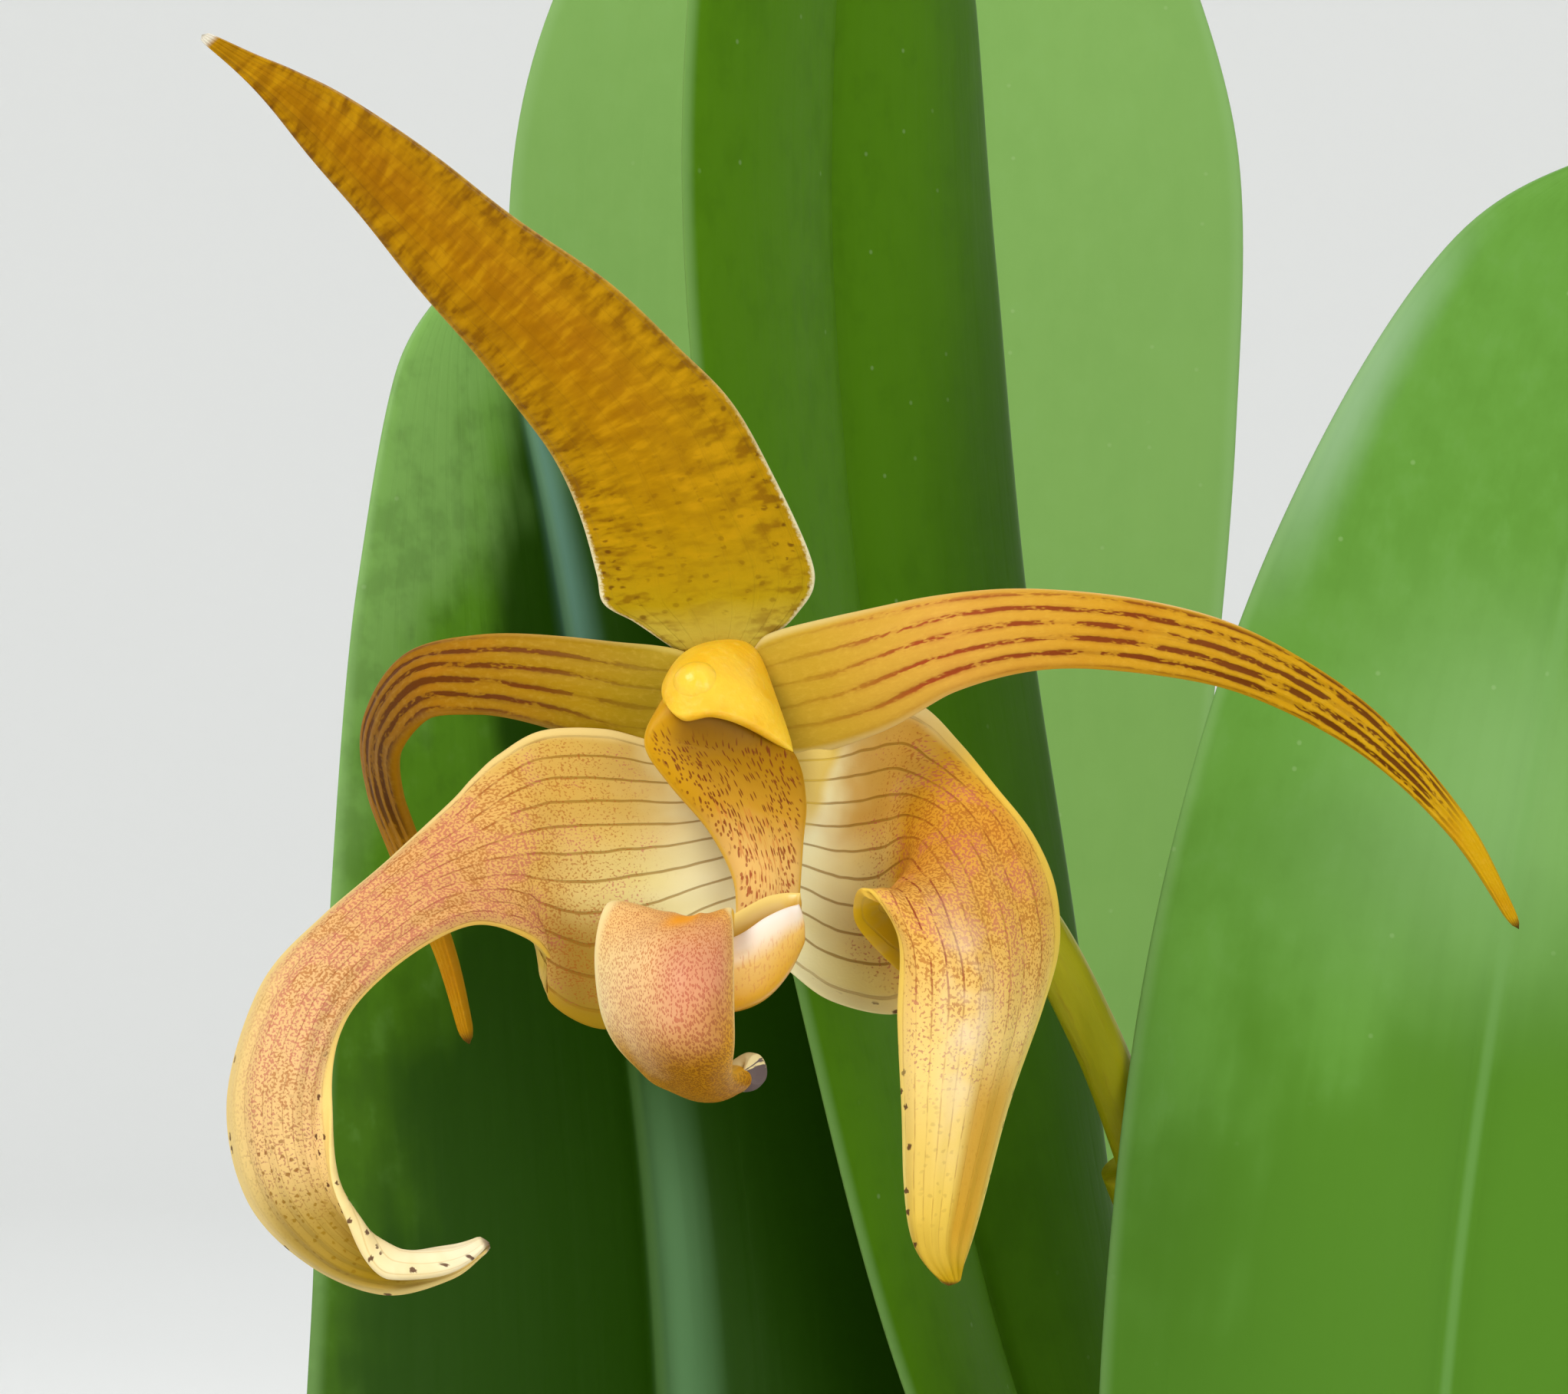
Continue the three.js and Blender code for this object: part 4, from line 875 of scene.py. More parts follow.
def lateral_paint(name, grounds, dense, hook, looks, dots, seed):
    """A lateral sepal: cream base with veins, a stippled middle, yellow margins and a spotted tip.

    looks holds the margins' and the underside's ramps, the colours of the dots, how wide and how
    pale the outer margin is, where the spots start, and the weights of what one side alone has.
    """
    p = Paint(name)
    u, v, back, s, t = p.blade_places()
    wobble = p.noise((s * 0.5, t * 0.25, seed), 2)
    cloud = p.noise((s * 0.45, t * 0.35, seed + 2), 2)
    ragged = p.noise((s * 4.5, t * 3.5, seed + 1), 1, 0.5) - 0.5
    clump = p.noise((s * 1.4, t * 1.1, seed + 7), 1)
    faint = p.noise((s * 0.8, t * 0.9, seed + 4), 1)
    p.colour = p.ramp(v + (wobble - 0.5) * 0.08, grounds)
    # Painted shade: an olive tone on the flap that is folded back near the base.
    if looks["olive"]:
        olive = p.rise(u, 0.2, 0.6) * p.band(v, 0.13, 0.26, 0.04)
        p.lay(olive * looks["olive"], (156, 120, 8))
    aside, span, golden = looks["golden"]
    upper = p.fall(u, *aside) * p.band(v + (cloud - 0.5) * 0.1, *span, 0.06)
    p.lay(upper * 0.8, golden)
    across = abs(u)
    density = p.band(v + (cloud - 0.5) * 0.12, *dense, 0.14) * p.fall(across, looks["dots_to"], 1.0)
    p.lay(density * 0.22, looks["blush"])
    vein = p.lines(u, 11, 0.07, (wobble - 0.5) * 0.3)
    speckled = p.rise(v, dense[0] - 0.05, dense[0] + 0.15)
    broken = 1 - speckled * p.fall(faint, 0.4, 0.55) * 0.7
    kept = (0.35 + p.fall(v, dense[0], dense[1] + 0.1) * 0.35) * broken * p.fall(v, hook + 0.1, hook + 0.25)
    vein_tone = p.mix(speckled, (146, 104, 14), (150, 66, 26))
    p.lay(vein * kept, vein_tone)
    dot = p.noise((s * dots[0], t * dots[1], seed + 1), 1, 0.5)
    edge = 0.66 - density * 0.15
    level = dot + (clump - 0.5) * 0.28
    stipple = p.rise(level - edge, -0.05, 0.04) * p.rise(density, 0.02, 0.2)
    pinkish = p.rise(cloud + p.band(v, *looks["pink"], 0.1) * 0.1, 0.5, 0.6)
    ink = p.mix(pinkish, (172, 90, 26), (190, 84, 84))
    ink = p.mix(p.rise(v, hook - 0.12, hook + 0.02), ink, looks["late"])
    ink = p.mix(p.rise(v, hook + 0.02, hook + 0.1), ink, (138, 84, 26))
    p.lay(stipple * 0.62, ink)
    if looks["dashed"]:
        lines = p.lines(u, 11, 0.09, (wobble - 0.5) * 0.3) * p.band(u, 0.15, 0.7, 0.08)
        lines = lines * p.band(v, 0.42, 0.66, 0.05) * p.rise(faint + ragged * 0.6, 0.4, 0.5)
        p.lay(lines * looks["dashed"], (150, 52, 30))
    spot, chance = p.cells((s + ragged * 0.3, t * 0.8), 2.4)
    loose = p.fall(spot, 0.14, 0.28) * p.rise(chance, 0.5, 0.55) * p.band(v, hook - 0.06, hook + 0.16, 0.05)
    p.lay(loose * p.fall(across, 0.45, 0.8) * looks["loose"], (132, 74, 26))
    margin = p.rise(abs(u) + (wobble - 0.5) * 0.1, 0.84, 0.98)
    margin = margin + p.rise(u * -1, 0.25, 0.8) * looks["wide"] * p.rise(v, 0.5, 0.66)
    rim = p.ramp(v, looks["margins"])
    if looks["pale"]:
        rim = p.mix(p.rise(u * -1, 0.0, 0.4) * looks["pale"], rim, (238, 210, 136))
    p.lay(p.rise(margin, 0, 1) * 0.85, rim)
    # Painted highlight: a pale strip down the middle of the lower blade, as strong as looks gives it.
    centre = p.band(u, -0.1, 0.35, 0.25) * p.band(v, 0.58, 0.78, 0.08) * p.rise(cloud, 0.35, 0.6)
    p.lay(centre * looks["centre"], (250, 226, 190))
    # Painted shade: a darker tone in the trough of the blade near its tip.
    trough = p.band(v, 0.74, 0.93, 0.04) * p.band(u, *looks["trough"], 0.15)
    p.lay(trough * 0.75, looks["trough_shade"])
    if looks["wing"]:
        reach = v + u * 0.05 + (wobble - 0.5) * 0.02
        wing = p.fall(reach, 0.05, 0.075) * p.fall(u, -0.4, 0.1)
        p.lay(wing * 0.8, (226, 188, 62))
    under = p.ramp(v, looks["under"])
    under = p.mix(vein * 0.3, under, (196, 156, 70))
    under = p.mix(p.rise(cloud, 0.45, 0.6) * 0.3, under, (226, 196, 120))
    p.lay(p.rise(back, 0.3, 0.7), under)
    rim_spot, rim_chance = p.cells((s * 0.9 + ragged * 0.4, t * 0.55), 1.7)
    place = p.rise(u, 0.7, 0.8) + p.rise(u * -1, 0.86, 0.93)
    speck = p.fall(rim_spot, 0.14, 0.23) * p.rise(rim_chance, 0.46, 0.48) * p.rise(place, 0, 1)
    along = p.rise(v, looks["spots"], looks["spots"] + 0.06)
    if looks["lobe"]:
        along = along + p.band(v, 0.1, 0.26, 0.01) * p.rise(u, 0.93, 0.96) * looks["lobe"]
    p.lay(speck * along * 0.9, (78, 30, 20))
    p.lay(p.rise(v, 0.988, 1.0) * 0.8, (92, 48, 30))
    height = wobble * 0.6 - vein * kept * 0.4 + dot * 0.1
    return p.skin(0.5, height, 0.1, 0.15, gloss=0.2, tint=(1, 0.86, 0.5))


def petal_paint(name, grounds, tones, fade, widths, edges, seed):
    """A petal's ground along its length, with veins that widen into dark broken stripes."""
    p = Paint(name)
    u, v, back, s, t = p.blade_places()
    wobble = p.noise((s * 0.6, t * 0.14, seed), 2)
    fine = p.noise((s * 4, t * 2.0, seed + 1), 2, 0.6)
    dash = p.noise((s * 1.8, t * 0.35, seed + 2), 3, 0.6)
    grit = p.noise((s * 7, t * 2.4, seed + 5), 1)
    cloud = p.noise((s * 0.3, t * 0.2, seed + 4), 2)
    p.colour = p.ramp(v + (wobble - 0.5) * 0.06, grounds)
    p.lay(p.rise(fine, 0.45, 0.75) * 0.1, (246, 206, 90))
    p.lay(p.rise(cloud, 0.5, 0.7) * 0.3 * p.rise(v, 0.2, 0.5), (186, 112, 4))
    at = u * 2.9 + 2.9 + (wobble - 0.5) * 0.5
    off = abs(p.sum("FRACT", at) - 0.5)
    wide = p.ramp_value(v, widths) + (dash - 0.5) * 0.3 + (grit - 0.5) * 0.12
    vein = 1 - p.rise(off - wide, -0.05, 0.06)
    halo = 1 - p.rise(off - wide, -0.05, 0.25)
    tone = p.ramp(v, tones)
    gaps = 1 - p.rise(v, 0.12, 0.3) * p.fall(dash + (grit - 0.5) * 0.35, 0.4, 0.5) * 0.8
    kept = p.fall(abs(u), 0.74, 0.9) * gaps * (0.45 + p.rise(v, 0.12, 0.32) * 0.45) * p.fall(v, *fade)
    p.lay(halo * kept * 0.35, tone)
    p.lay(vein * kept, tone)
    p.lay(p.rise(abs(u), 0.84, 0.98) * 0.6, p.ramp(v, edges))
    p.lay(p.rise(v, 0.985, 0.998) * 0.8, (96, 66, 30))
    p.lay(back * 0.4, (204, 160, 44))
    height = fine * 0.3 - vein * kept * 0.3
    return p.skin(0.5, height, 0.08, 0.15, gloss=0.17, tint=(1, 0.84, 0.45))


def foot_paint():
    p = Paint("column_foot")
    u, v, back, s, t = p.blade_places()
    wobble = p.noise((s * 0.8, t * 0.5, 3), 2)
    # Dark at the top of the foot: painted shadow under the hood.
    p.colour = p.ramp(v + (wobble - 0.5) * 0.06, [
        (0.1, 128, 84, 0), (0.3, 160, 112, 0), (0.44, 190, 138, 32), (0.58, 222, 174, 94),
        (0.9, 236, 190, 116),
    ])
    p.lay(p.rise(u * -1, 0.5, 0.97) * p.fall(v, 0.35, 0.55), (198, 144, 4))
    warp = (wobble - 0.5) * 0.6
    crowd = p.noise((s * 1.1, t * 0.8, 12), 1)
    dash, chance = p.cells((s * 3.8 + warp, t * 0.8), 1)
    zone = p.band(v, 0.2, 0.78, 0.03) * p.fall(abs(u), 0.9, 0.99)
    dashes = p.fall(dash, 0.15, 0.25) * p.rise(chance + (crowd - 0.5) * 0.8, 0.1, 0.16) * zone
    dot, lot = p.cells((s * 4.4 + 9, t * 2.1), 1)
    sides = p.rise(abs(u), 0.3, 0.55) * p.band(v, 0.24, 0.72, 0.04) * p.fall(abs(u), 0.95, 1)
    dots = p.fall(dot, 0.18, 0.3) * p.rise(lot + (crowd - 0.5) * 0.5, 0.3, 0.36) * sides
    streak = p.noise((s * 7 + warp, t * 0.8, 8), 1)
    streaks = p.rise(streak, 0.54, 0.62) * p.band(v, 0.44, 0.84, 0.06) * p.fall(abs(u), 0.8, 0.95)
    tone = p.mix(p.rise(v, 0.42, 0.7), (112, 38, 4), (160, 66, 26))
    p.lay(streaks * 0.5, (190, 96, 40))
    p.lay(dashes * 0.85, tone)
    p.lay(dots * 0.8, tone)
    p.lay(back * 0.7, (228, 178, 44))
    return p.skin(0.42, wobble * 0.5 - dashes * 0.15, 0.08, 0.08, gloss=0.22,
                  tint=(1, 0.85, 0.5), subsurface_weight=0.1, subsurface_scale=0.0008)


def waxy_yellow(name, light, deep, roughness):
    p = Paint(name)
    x, y, z = p.place()
    cloud = p.noise((x * 0.35, y * 0.35, z * 0.35), 3)
    fine = p.noise((x * 2.5, y * 2.5, z * 2.5), 2)
    p.two_tone(cloud, deep, light)
    p.lay(p.rise(fine, 0.5, 0.8) * 0.1, (255, 232, 150))
    return p.skin(roughness, fine, 0.04, gloss=0.35, subsurface_weight=0.2, subsurface_scale=0.0012)


def gutter_paint():
    p = Paint("lip_base_peach")
    u, _, back, s, t = p.blade_places()
    cloud = p.noise((s * 0.5, t * 0.5, 3), 2)
    # Outside: the pale pinkish-white band along the near rim is a painted highlight; the ochre darkening
    # towards the bottom is partly painted shade.
    outside = p.ramp(u * 0.5 + 0.5 + (cloud - 0.5) * 0.06, [
        (0.2, 158, 108, 0), (0.46, 190, 132, 0), (0.58, 234, 170, 40), (0.74, 250, 198, 104),
        (0.84, 252, 226, 196), (0.95, 253, 236, 220),
    ])
    tick = p.noise((s * 3, t * 6, 2), 1)
    ticks = p.rise(tick, 0.56, 0.64) * p.band(u, 0.15, 0.62, 0.1)
    outside = p.mix(ticks * 0.4, outside, (218, 120, 60))
    # Inside: the darker ochre in the middle is partly its colour, partly painted shade in the hollow; the
    # ends are cream rims.
    inside = p.ramp(u * 0.5 + 0.5, [
        (0.02, 238, 204, 110), (0.1, 206, 156, 52), (0.4, 180, 130, 24), (0.8, 206, 156, 50),
        (0.96, 244, 214, 140),
    ])
    p.colour = p.mix(p.rise(back, 0.45, 0.75), inside, outside)
    p.lay(p.band(back, 0.2, 0.8, 0.1), (240, 204, 110))
    return p.skin(0.34, cloud, 0.05, 0.08, gloss=0.35, coat_weight=0.15, coat_roughness=0.15)


def lip_paint():
    p = Paint("lip_stippled")
    u, v, back, s, t = p.blade_places()
    cloud = p.noise((s * 0.35, t * 0.3, 5), 2)
    ragged = p.noise((s * 6, t * 4, 1), 1, 0.5) - 0.5
    clump = p.noise((s * 1.6, t * 1.1, 4), 2)
    p.colour = p.ramp(u * 0.5 + 0.5 + (cloud - 0.5) * 0.25, [
        (0.05, 246, 218, 154), (0.25, 242, 202, 142), (0.5, 228, 172, 116), (0.8, 224, 160, 96),
        (0.98, 246, 200, 100),
    ])
    pink = p.band(u, -0.05, 0.85, 0.25) * p.band(v, 0.33, 0.47, 0.07)
    p.lay(pink * 0.5, (208, 130, 112))
    top = p.band(v, 0.18, 0.32, 0.05)
    p.lay(top * 0.5, (234, 162, 66))
    low = p.rise(v + (cloud - 0.5) * 0.12 + abs(u) * 0.02, 0.42, 0.56)
    p.lay(low * 0.97, (184, 124, 0))
    # Golden lower margins: partly the lip's own colour, partly painted shade where the surface turns down.
    p.lay(low * p.rise(abs(u), 0.5, 0.95), (226, 160, 16))
    right = p.rise(u, -0.8, 0.4)
    face = p.band(v, 0.22, 0.76, 0.03) * p.fall(abs(u), 0.84, 0.98) * (0.5 + right * 0.5)
    tick, chance = p.cells((s * 10.5 + ragged * 1.8, t * 4.8 + ragged * 1.2), 1)
    strength = face * 0.1 + low * 0.08 + (clump - 0.5) * 0.16
    drawn = p.rise(chance + (clump - 0.5) * 0.5, 0.12, 0.2) * p.rise(face, 0.02, 0.3)
    ticks = p.fall(tick - strength, 0.18, 0.36) * drawn
    ink = p.mix(p.rise(v + (cloud - 0.5) * 0.3, 0.3, 0.42), (186, 90, 26), (184, 80, 60))
    ink = p.mix(low, ink, (124, 66, 8))
    p.lay(ticks * 0.66, ink)
    notch = p.band(u, -0.2, 0.28, 0.14) * p.band(v, 0.243, 0.298, 0.02)
    p.lay(notch, (248, 160, 30))
    rim = p.mix(p.rise(v, 0.4, 0.6), (248, 226, 160), (232, 170, 26))
    p.lay(p.rise(abs(u), 0.86, 0.98) * 0.9, rim)
    p.lay(p.rise(back, 0.3, 0.7), (234, 182, 66))
    p.lay(p.rise(v, 0.79, 0.82), (238, 218, 158))
    patch = p.noise((s * 5, t * 4, 8), 2, 0.7) * 0.6 + cloud * 0.4 + u * -0.24
    stain = p.rise(patch + p.rise(v, 0.93, 1) * 0.1, 0.53, 0.57) * p.rise(v, 0.82, 0.85)
    p.lay(stain * 0.9, (64, 46, 72))
    return p.skin(0.46, ragged * -0.4 + cloud * 0.3, 0.05, 0.12, gloss=0.26,
                  tint=(1, 0.88, 0.6), coat_weight=0.04, coat_roughness=0.25)


def stem_paint():
    p = Paint("stem_olive")
    x, length, z = p.attribute("grain")
    fine = p.noise((x * 1.6, length * 0.25, z * 1.6), 3, 0.6)
    cloud = p.noise((x * 0.3, length * 0.06, z * 0.3), 2)
    p.two_tone(cloud, (130, 128, 2), (160, 154, 24))
    p.lay(p.rise(fine, 0.5, 0.75) * 0.3, (112, 88, 16))
    return p.skin(0.42, fine, 0.1, gloss=0.22,
                  tint=(1, 0.95, 0.4), subsurface_weight=0.1, subsurface_scale=0.001)


def bulb_paint():
    p = Paint("pseudobulb_green")
    _, place, _ = p.attribute("share")
    x, length, z = p.attribute("grain")
    cloud = p.noise((x * 0.16, length * 0.07, z * 0.16), 4, 0.6)
    fine = p.noise((x * 1.4, length * 0.18, z * 1.4), 3, 0.6)
    p.two_tone(cloud, (110, 134, 36), (158, 172, 62))
    p.lay(p.rise(place, 0.75, 1), (120, 150, 50))
    p.lay(p.fall(place, 0.05, 0.4) * 0.7, (170, 160, 76))
    p.lay(p.rise(fine, 0.55, 0.75) * 0.35, (96, 84, 34))
    return p.skin(0.4, fine + cloud * 0.5, 0.25, gloss=0.5, coat_weight=0.08)


def husk_paint():
    p = Paint("dry_sheath")
    s, t, _ = p.attribute("grain")
    fibre = p.noise((s * 2.2, t * 0.12, 2), 3, 0.65)
    cloud = p.noise((s * 0.2, t * 0.2, 4), 3)
    p.two_tone(cloud, (128, 100, 62), (176, 152, 108))
    p.lay(p.rise(fibre, 0.5, 0.62) * 0.7, (92, 68, 40))
    return p.skin(0.75, fibre, 0.2, 0.15)


def rhizome_paint():
    p = Paint("rhizome_bark")
    x, length, z = p.attribute("grain")
    ring = p.noise((x * 0.1, length * 0.9, z * 0.1), 2)
    fibre = p.noise((x * 1.8, length * 0.2, z * 1.8), 3, 0.65)
    p.two_tone(fibre, (96, 72, 38), (158, 132, 78))
    p.lay(p.rise(ring, 0.52, 0.6) * 0.6, (188, 164, 110))
    return p.skin(0.78, fibre + ring * 0.6, 0.3)


def root_paint():
    p = Paint("root_velamen")
    _, place, _ = p.attribute("share")
    x, length, z = p.attribute("grain")
    fine = p.noise((x * 2.4, length * 1.2, z * 2.4), 3, 0.65)
    cloud = p.noise((x * 0.2, length * 0.15, z * 0.2), 2)
    p.two_tone(cloud, (196, 190, 164), (222, 218, 200))
    p.lay(p.rise(fine, 0.5, 0.7) * 0.45, (150, 132, 100))
    p.lay(p.fall(place, 0.0, 0.12) * 0.6, (140, 112, 74))
    return p.skin(0.82, fine, 0.2, gloss=0.25)


def bark_paint():
    p = Paint("bark_chips")
    tone, _, _ = p.attribute("share")
    x, y, z = p.attribute("grain")
    grain = p.noise((x * 0.35, y * 1.6, z * 2.2), 4, 0.65)
    fine = p.noise((x * 2, y * 3, z * 3), 3, 0.7)
    p.colour = p.mix(tone, (78, 48, 30), (150, 100, 62))
    p.lay(p.rise(grain, 0.42, 0.62) * 0.6, (58, 36, 24))
    p.lay(p.rise(fine, 0.58, 0.75) * 0.45, (186, 146, 104))
    return p.skin(0.88, grain + fine * 0.4, 0.5, gloss=0.25)


def soil_paint():
    p = Paint("fine_bark")
    x, y, z = p.place()
    coarse = p.noise((x * 0.35, y * 0.35, z * 0.35), 4, 0.7)
    spot, chance = p.cells((x, y, z), 0.4, False)
    p.two_tone(coarse, (46, 30, 20), (98, 66, 42))
    p.lay(p.rise(chance, 0.6, 0.9) * 0.4, (128, 88, 56))
    return p.skin(0.95, coarse + spot * 0.6, 1.2, gloss=0.2)


def perlite_paint():
    p = Paint("perlite")
    x, y, z = p.place()
    fine = p.noise((x, y, z), 4, 0.7, 1.6)
    p.two_tone(fine, (206, 200, 188), (240, 238, 232))
    return p.skin(0.92, fine, 0.3)


def moss_paint():
    p = Paint("moss")
    _, v, _ = p.attribute("share")
    x, y, z = p.place()
    cloud = p.noise((x * 0.15, y * 0.15, z * 0.15), 2)
    p.two_tone(cloud, (74, 104, 26), (128, 150, 46))
    p.lay(p.rise(v, 0.4, 1.0) * 0.6, (170, 188, 84))
    return p.skin(0.7, None, 0, 0.25)


def clay_paint():
    p = Paint("fired_clay")
    x, y, z = p.place()
    cloud = p.noise((x * 0.022, y * 0.022, z * 0.03), 5, 0.6)
    grit = p.noise((x, y, z), 4, 0.7, 1.7)
    bloom = p.noise((x * 0.06, y * 0.06, z * 0.05), 5, 0.65)
    p.two_tone(cloud, (172, 92, 58), (200, 122, 84))
    p.lay(p.rise(grit, 0.55, 0.75) * 0.25, (224, 168, 130))
    p.lay(p.fall(grit, 0.28, 0.4) * 0.3, (124, 62, 40))
    low = p.fall(z, 4, 38) * 0.7 + p.band(z, 84, 99, 9) * 0.55
    p.lay(p.rise(bloom, 0.5, 0.68) * low, (222, 206, 190))
    ring = p.noise((0.0, 0.0, z * 0.5), 3, 0.6)
    rough = 0.8 + grit * 0.15
    return p.skin(rough, grit * 0.5 + ring * 0.7, 0.35)


def plain_paint(name, tone, roughness):
    p = Paint(name)
    x, y, z = p.place()
    fine = p.noise((x * 0.004, y * 0.004, z * 0.004), 2)
    p.colour = p.mix(fine * 0.04, tone, (255, 255, 255))
    return p.skin(roughness, gloss=0.2)


# Flower
def flower():
    yellow = waxy_yellow("column_hood", (240, 192, 44), (232, 176, 20), 0.45)
    cap = waxy_yellow("anther_cap_gloss", (246, 200, 58), (240, 188, 38), 0.3)

    def ripple(u, v, s, t):
        return 0.09 * np.sin(t * 0.55 + s * 0.5) * np.abs(u) + 0.05 * np.cos(u * 5 * math.pi)

    def lateral_relief(u, v, s, t):
        return 0.06 * np.cos(u * 5.5 * math.pi) + 0.1 * np.sin(t * 0.5 + 1) * np.abs(u) ** 3

    def lip_relief(u, v, s, t):
        ridges = np.exp(-((np.abs(u) - LIP_RIDGE["aside"]) / LIP_RIDGE["width"]) ** 2)
        ridges = ridges * step_up(v, 0.11, 0.22) * (1 - step_up(v, 0.28, 0.46))
        return LIP_RIDGE["height"] * ridges + 0.04 * np.sin(t * 1.1 + s)

    def petal_relief(u, v, s, t):
        return ripple(u, v, s, t) * step_up(v, 0.1, 0.3)

    dorsal = blade(rail_sheet(DORSAL), 220, 48, SEPAL_THICK, False, petal_relief, 0.008)
    piece("dorsal_sepal_fine", dorsal, dorsal_paint(), ["dorsal_sepal"])
    fold_line = through([[place] for place in FOLD_LINE])
    fold_turn = through([[degrees] for degrees in FOLD_TURN])

    def past_fold(v):
        return np.clip((v - FOLD_FROM) / (1 - FOLD_FROM), 0, 1)

    def start(v):
        return fold_line(past_fold(v))[..., 0]

    def turn(v):
        return np.radians(fold_turn(past_fold(v))[..., 0])

    hooked = rolled(rail_sheet(LATERAL_LEFT), start, turn)
    left = blade(hooked, 260, 64, LATERAL_THICK["left"], True, lateral_relief, 0.01)
    right = blade(rail_sheet(LATERAL_RIGHT), 220, 48, LATERAL_THICK["right"], False, lateral_relief, 0.01)
    left_grounds = [
        (0.04, 242, 232, 186), (0.15, 232, 214, 140), (0.26, 226, 186, 94), (0.46, 230, 180, 110),
        (0.62, 238, 200, 138), (0.74, 236, 202, 130), (0.86, 196, 158, 40), (0.96, 246, 222, 150),
    ]
    left_looks = dict(
        blush=(224, 146, 94), pink=(0.38, 0.66), late=(156, 90, 80), wide=0.8, spots=0.6, pale=1.0,
        dots_to=0.72, loose=0.8, trough=(-0.75, 0.8), trough_shade=(150, 118, 4), olive=0.9, dashed=0.0,
        golden=((-0.4, 0.35), (0.08, 0.24), (206, 160, 56)), lobe=0.0, wing=0.0, centre=0.0,
        # The dark olive stops near the base are painted shade where the margin folds back.
        margins=[(0.0, 240, 228, 160), (0.09, 176, 140, 14), (0.2, 158, 124, 6),
                 (0.3, 206, 158, 30), (0.36, 240, 196, 70), (0.6, 244, 210, 112),
                 (0.8, 246, 222, 142)],
        under=[(0.1, 232, 216, 150), (0.24, 196, 160, 60), (0.5, 236, 206, 110),
               (0.7, 244, 218, 140), (0.85, 246, 226, 172), (0.96, 250, 236, 198)],
    )
    right_grounds = [
        (0.05, 252, 246, 200), (0.2, 244, 228, 144), (0.31, 212, 162, 36), (0.44, 222, 160, 54),
        (0.58, 236, 190, 90), (0.72, 248, 218, 134), (0.88, 234, 198, 84), (0.97, 190, 152, 14),
    ]
    right_looks = dict(
        blush=(218, 134, 52), pink=(0.52, 0.6), late=(178, 96, 100), wide=0.0, spots=0.7, pale=0.0,
        dots_to=0.7, loose=0.2, trough=(-0.75, -0.1), trough_shade=(206, 148, 24), olive=0.0, dashed=0.8,
        golden=((-0.3, 0.25), (0.12, 0.29), (200, 144, 32)), lobe=1.0, wing=1.0, centre=0.6,
        margins=[(0.0, 244, 240, 200), (0.2, 244, 232, 176), (0.34, 238, 200, 80),
                 (0.6, 244, 206, 80), (0.85, 250, 228, 130), (0.97, 200, 160, 30)],
        under=[(0.1, 236, 226, 160), (0.3, 230, 188, 30), (0.55, 226, 180, 20),
               (0.8, 240, 210, 90)],
    )
    left_paint = lateral_paint("lateral_left", left_grounds, (0.2, 0.7), 0.74, left_looks, (7.6, 6), 1)
    right_paint = lateral_paint("lateral_right", right_grounds, (0.27, 0.68), 0.74, right_looks, (6, 5), 21)
    piece("lateral_sepal_left_fine", left, left_paint, ["lateral_sepal_left"])
    piece("lateral_sepal_right_fine", right, right_paint, ["lateral_sepal_right"])
    left_paint = petal_paint("petal_left_gold", [
        (0.05, 178, 152, 34), (0.2, 162, 130, 12), (0.38, 166, 118, 8), (0.5, 156, 102, 4),
        (0.6, 140, 92, 4), (0.74, 166, 110, 4), (0.9, 196, 138, 8),
    ], [(0.15, 134, 102, 8), (0.33, 108, 46, 2), (0.6, 84, 40, 0)], (0.68, 0.86),
        [(0.12, 0.06), (0.3, 0.1), (0.5, 0.2)], [(0.15, 222, 200, 110), (0.4, 196, 136, 12)], 3)
    right_paint = petal_paint("petal_right_gold", [
        (0.04, 184, 156, 44), (0.18, 196, 156, 42), (0.34, 218, 164, 66), (0.5, 208, 152, 36),
        (0.7, 202, 150, 8), (0.92, 206, 160, 8),
    ], [(0.15, 160, 118, 20), (0.3, 160, 56, 26), (0.5, 124, 42, 12), (0.7, 96, 38, 2),
        (0.8, 90, 36, 2)], (0.84, 0.9), [(0.12, 0.05), (0.3, 0.09), (0.5, 0.15), (0.75, 0.27)],
        [(0.2, 236, 218, 150), (0.45, 226, 172, 34)], 13)
    for side, rows, paint in (("left", PETAL_LEFT, left_paint), ("right", PETAL_RIGHT, right_paint)):
        sheet = spine_sheet(rows, HUB, TOWARDS_VIEWER, petal_section)
        made = blade(sheet, 180, 32, PETAL_THICK, relief=petal_relief, tip=0.02)
        piece(f"petal_{side}_fine", made, paint, [f"petal_{side}"])
    foot = blade(rail_sheet(FOOT), 120, 40, FOOT_THICK, True, None, 0.04, 8)
    hood = blade(net_sheet(HOOD), 60, 48, HOOD_THICK, False, None, 0, 8)
    row = through(COLUMN)
    stub = limb(np.array(COLUMN)[:, :3] + HUB, lambda place, angle: row(place)[..., 3] - 0.5, 40, 30)
    piece("column_fine", together(foot, hood, stub), [foot_paint(), yellow, yellow], ["column"])
    piece("anther_cap_fine", anther(), cap, ["anther_cap"])
    lip = blade(rail_sheet(LIP), 180, 48, LIP_THICK, True, lip_relief, 0.03, 8)
    base = blade(net_sheet(LIP_BASE), 60, 48, HOOD_THICK, True, None, 0, 8, 0.06)
    piece("lip_fine", together(lip, base), [lip_paint(), gutter_paint()], ["lip"])
    stem = stem_paint()

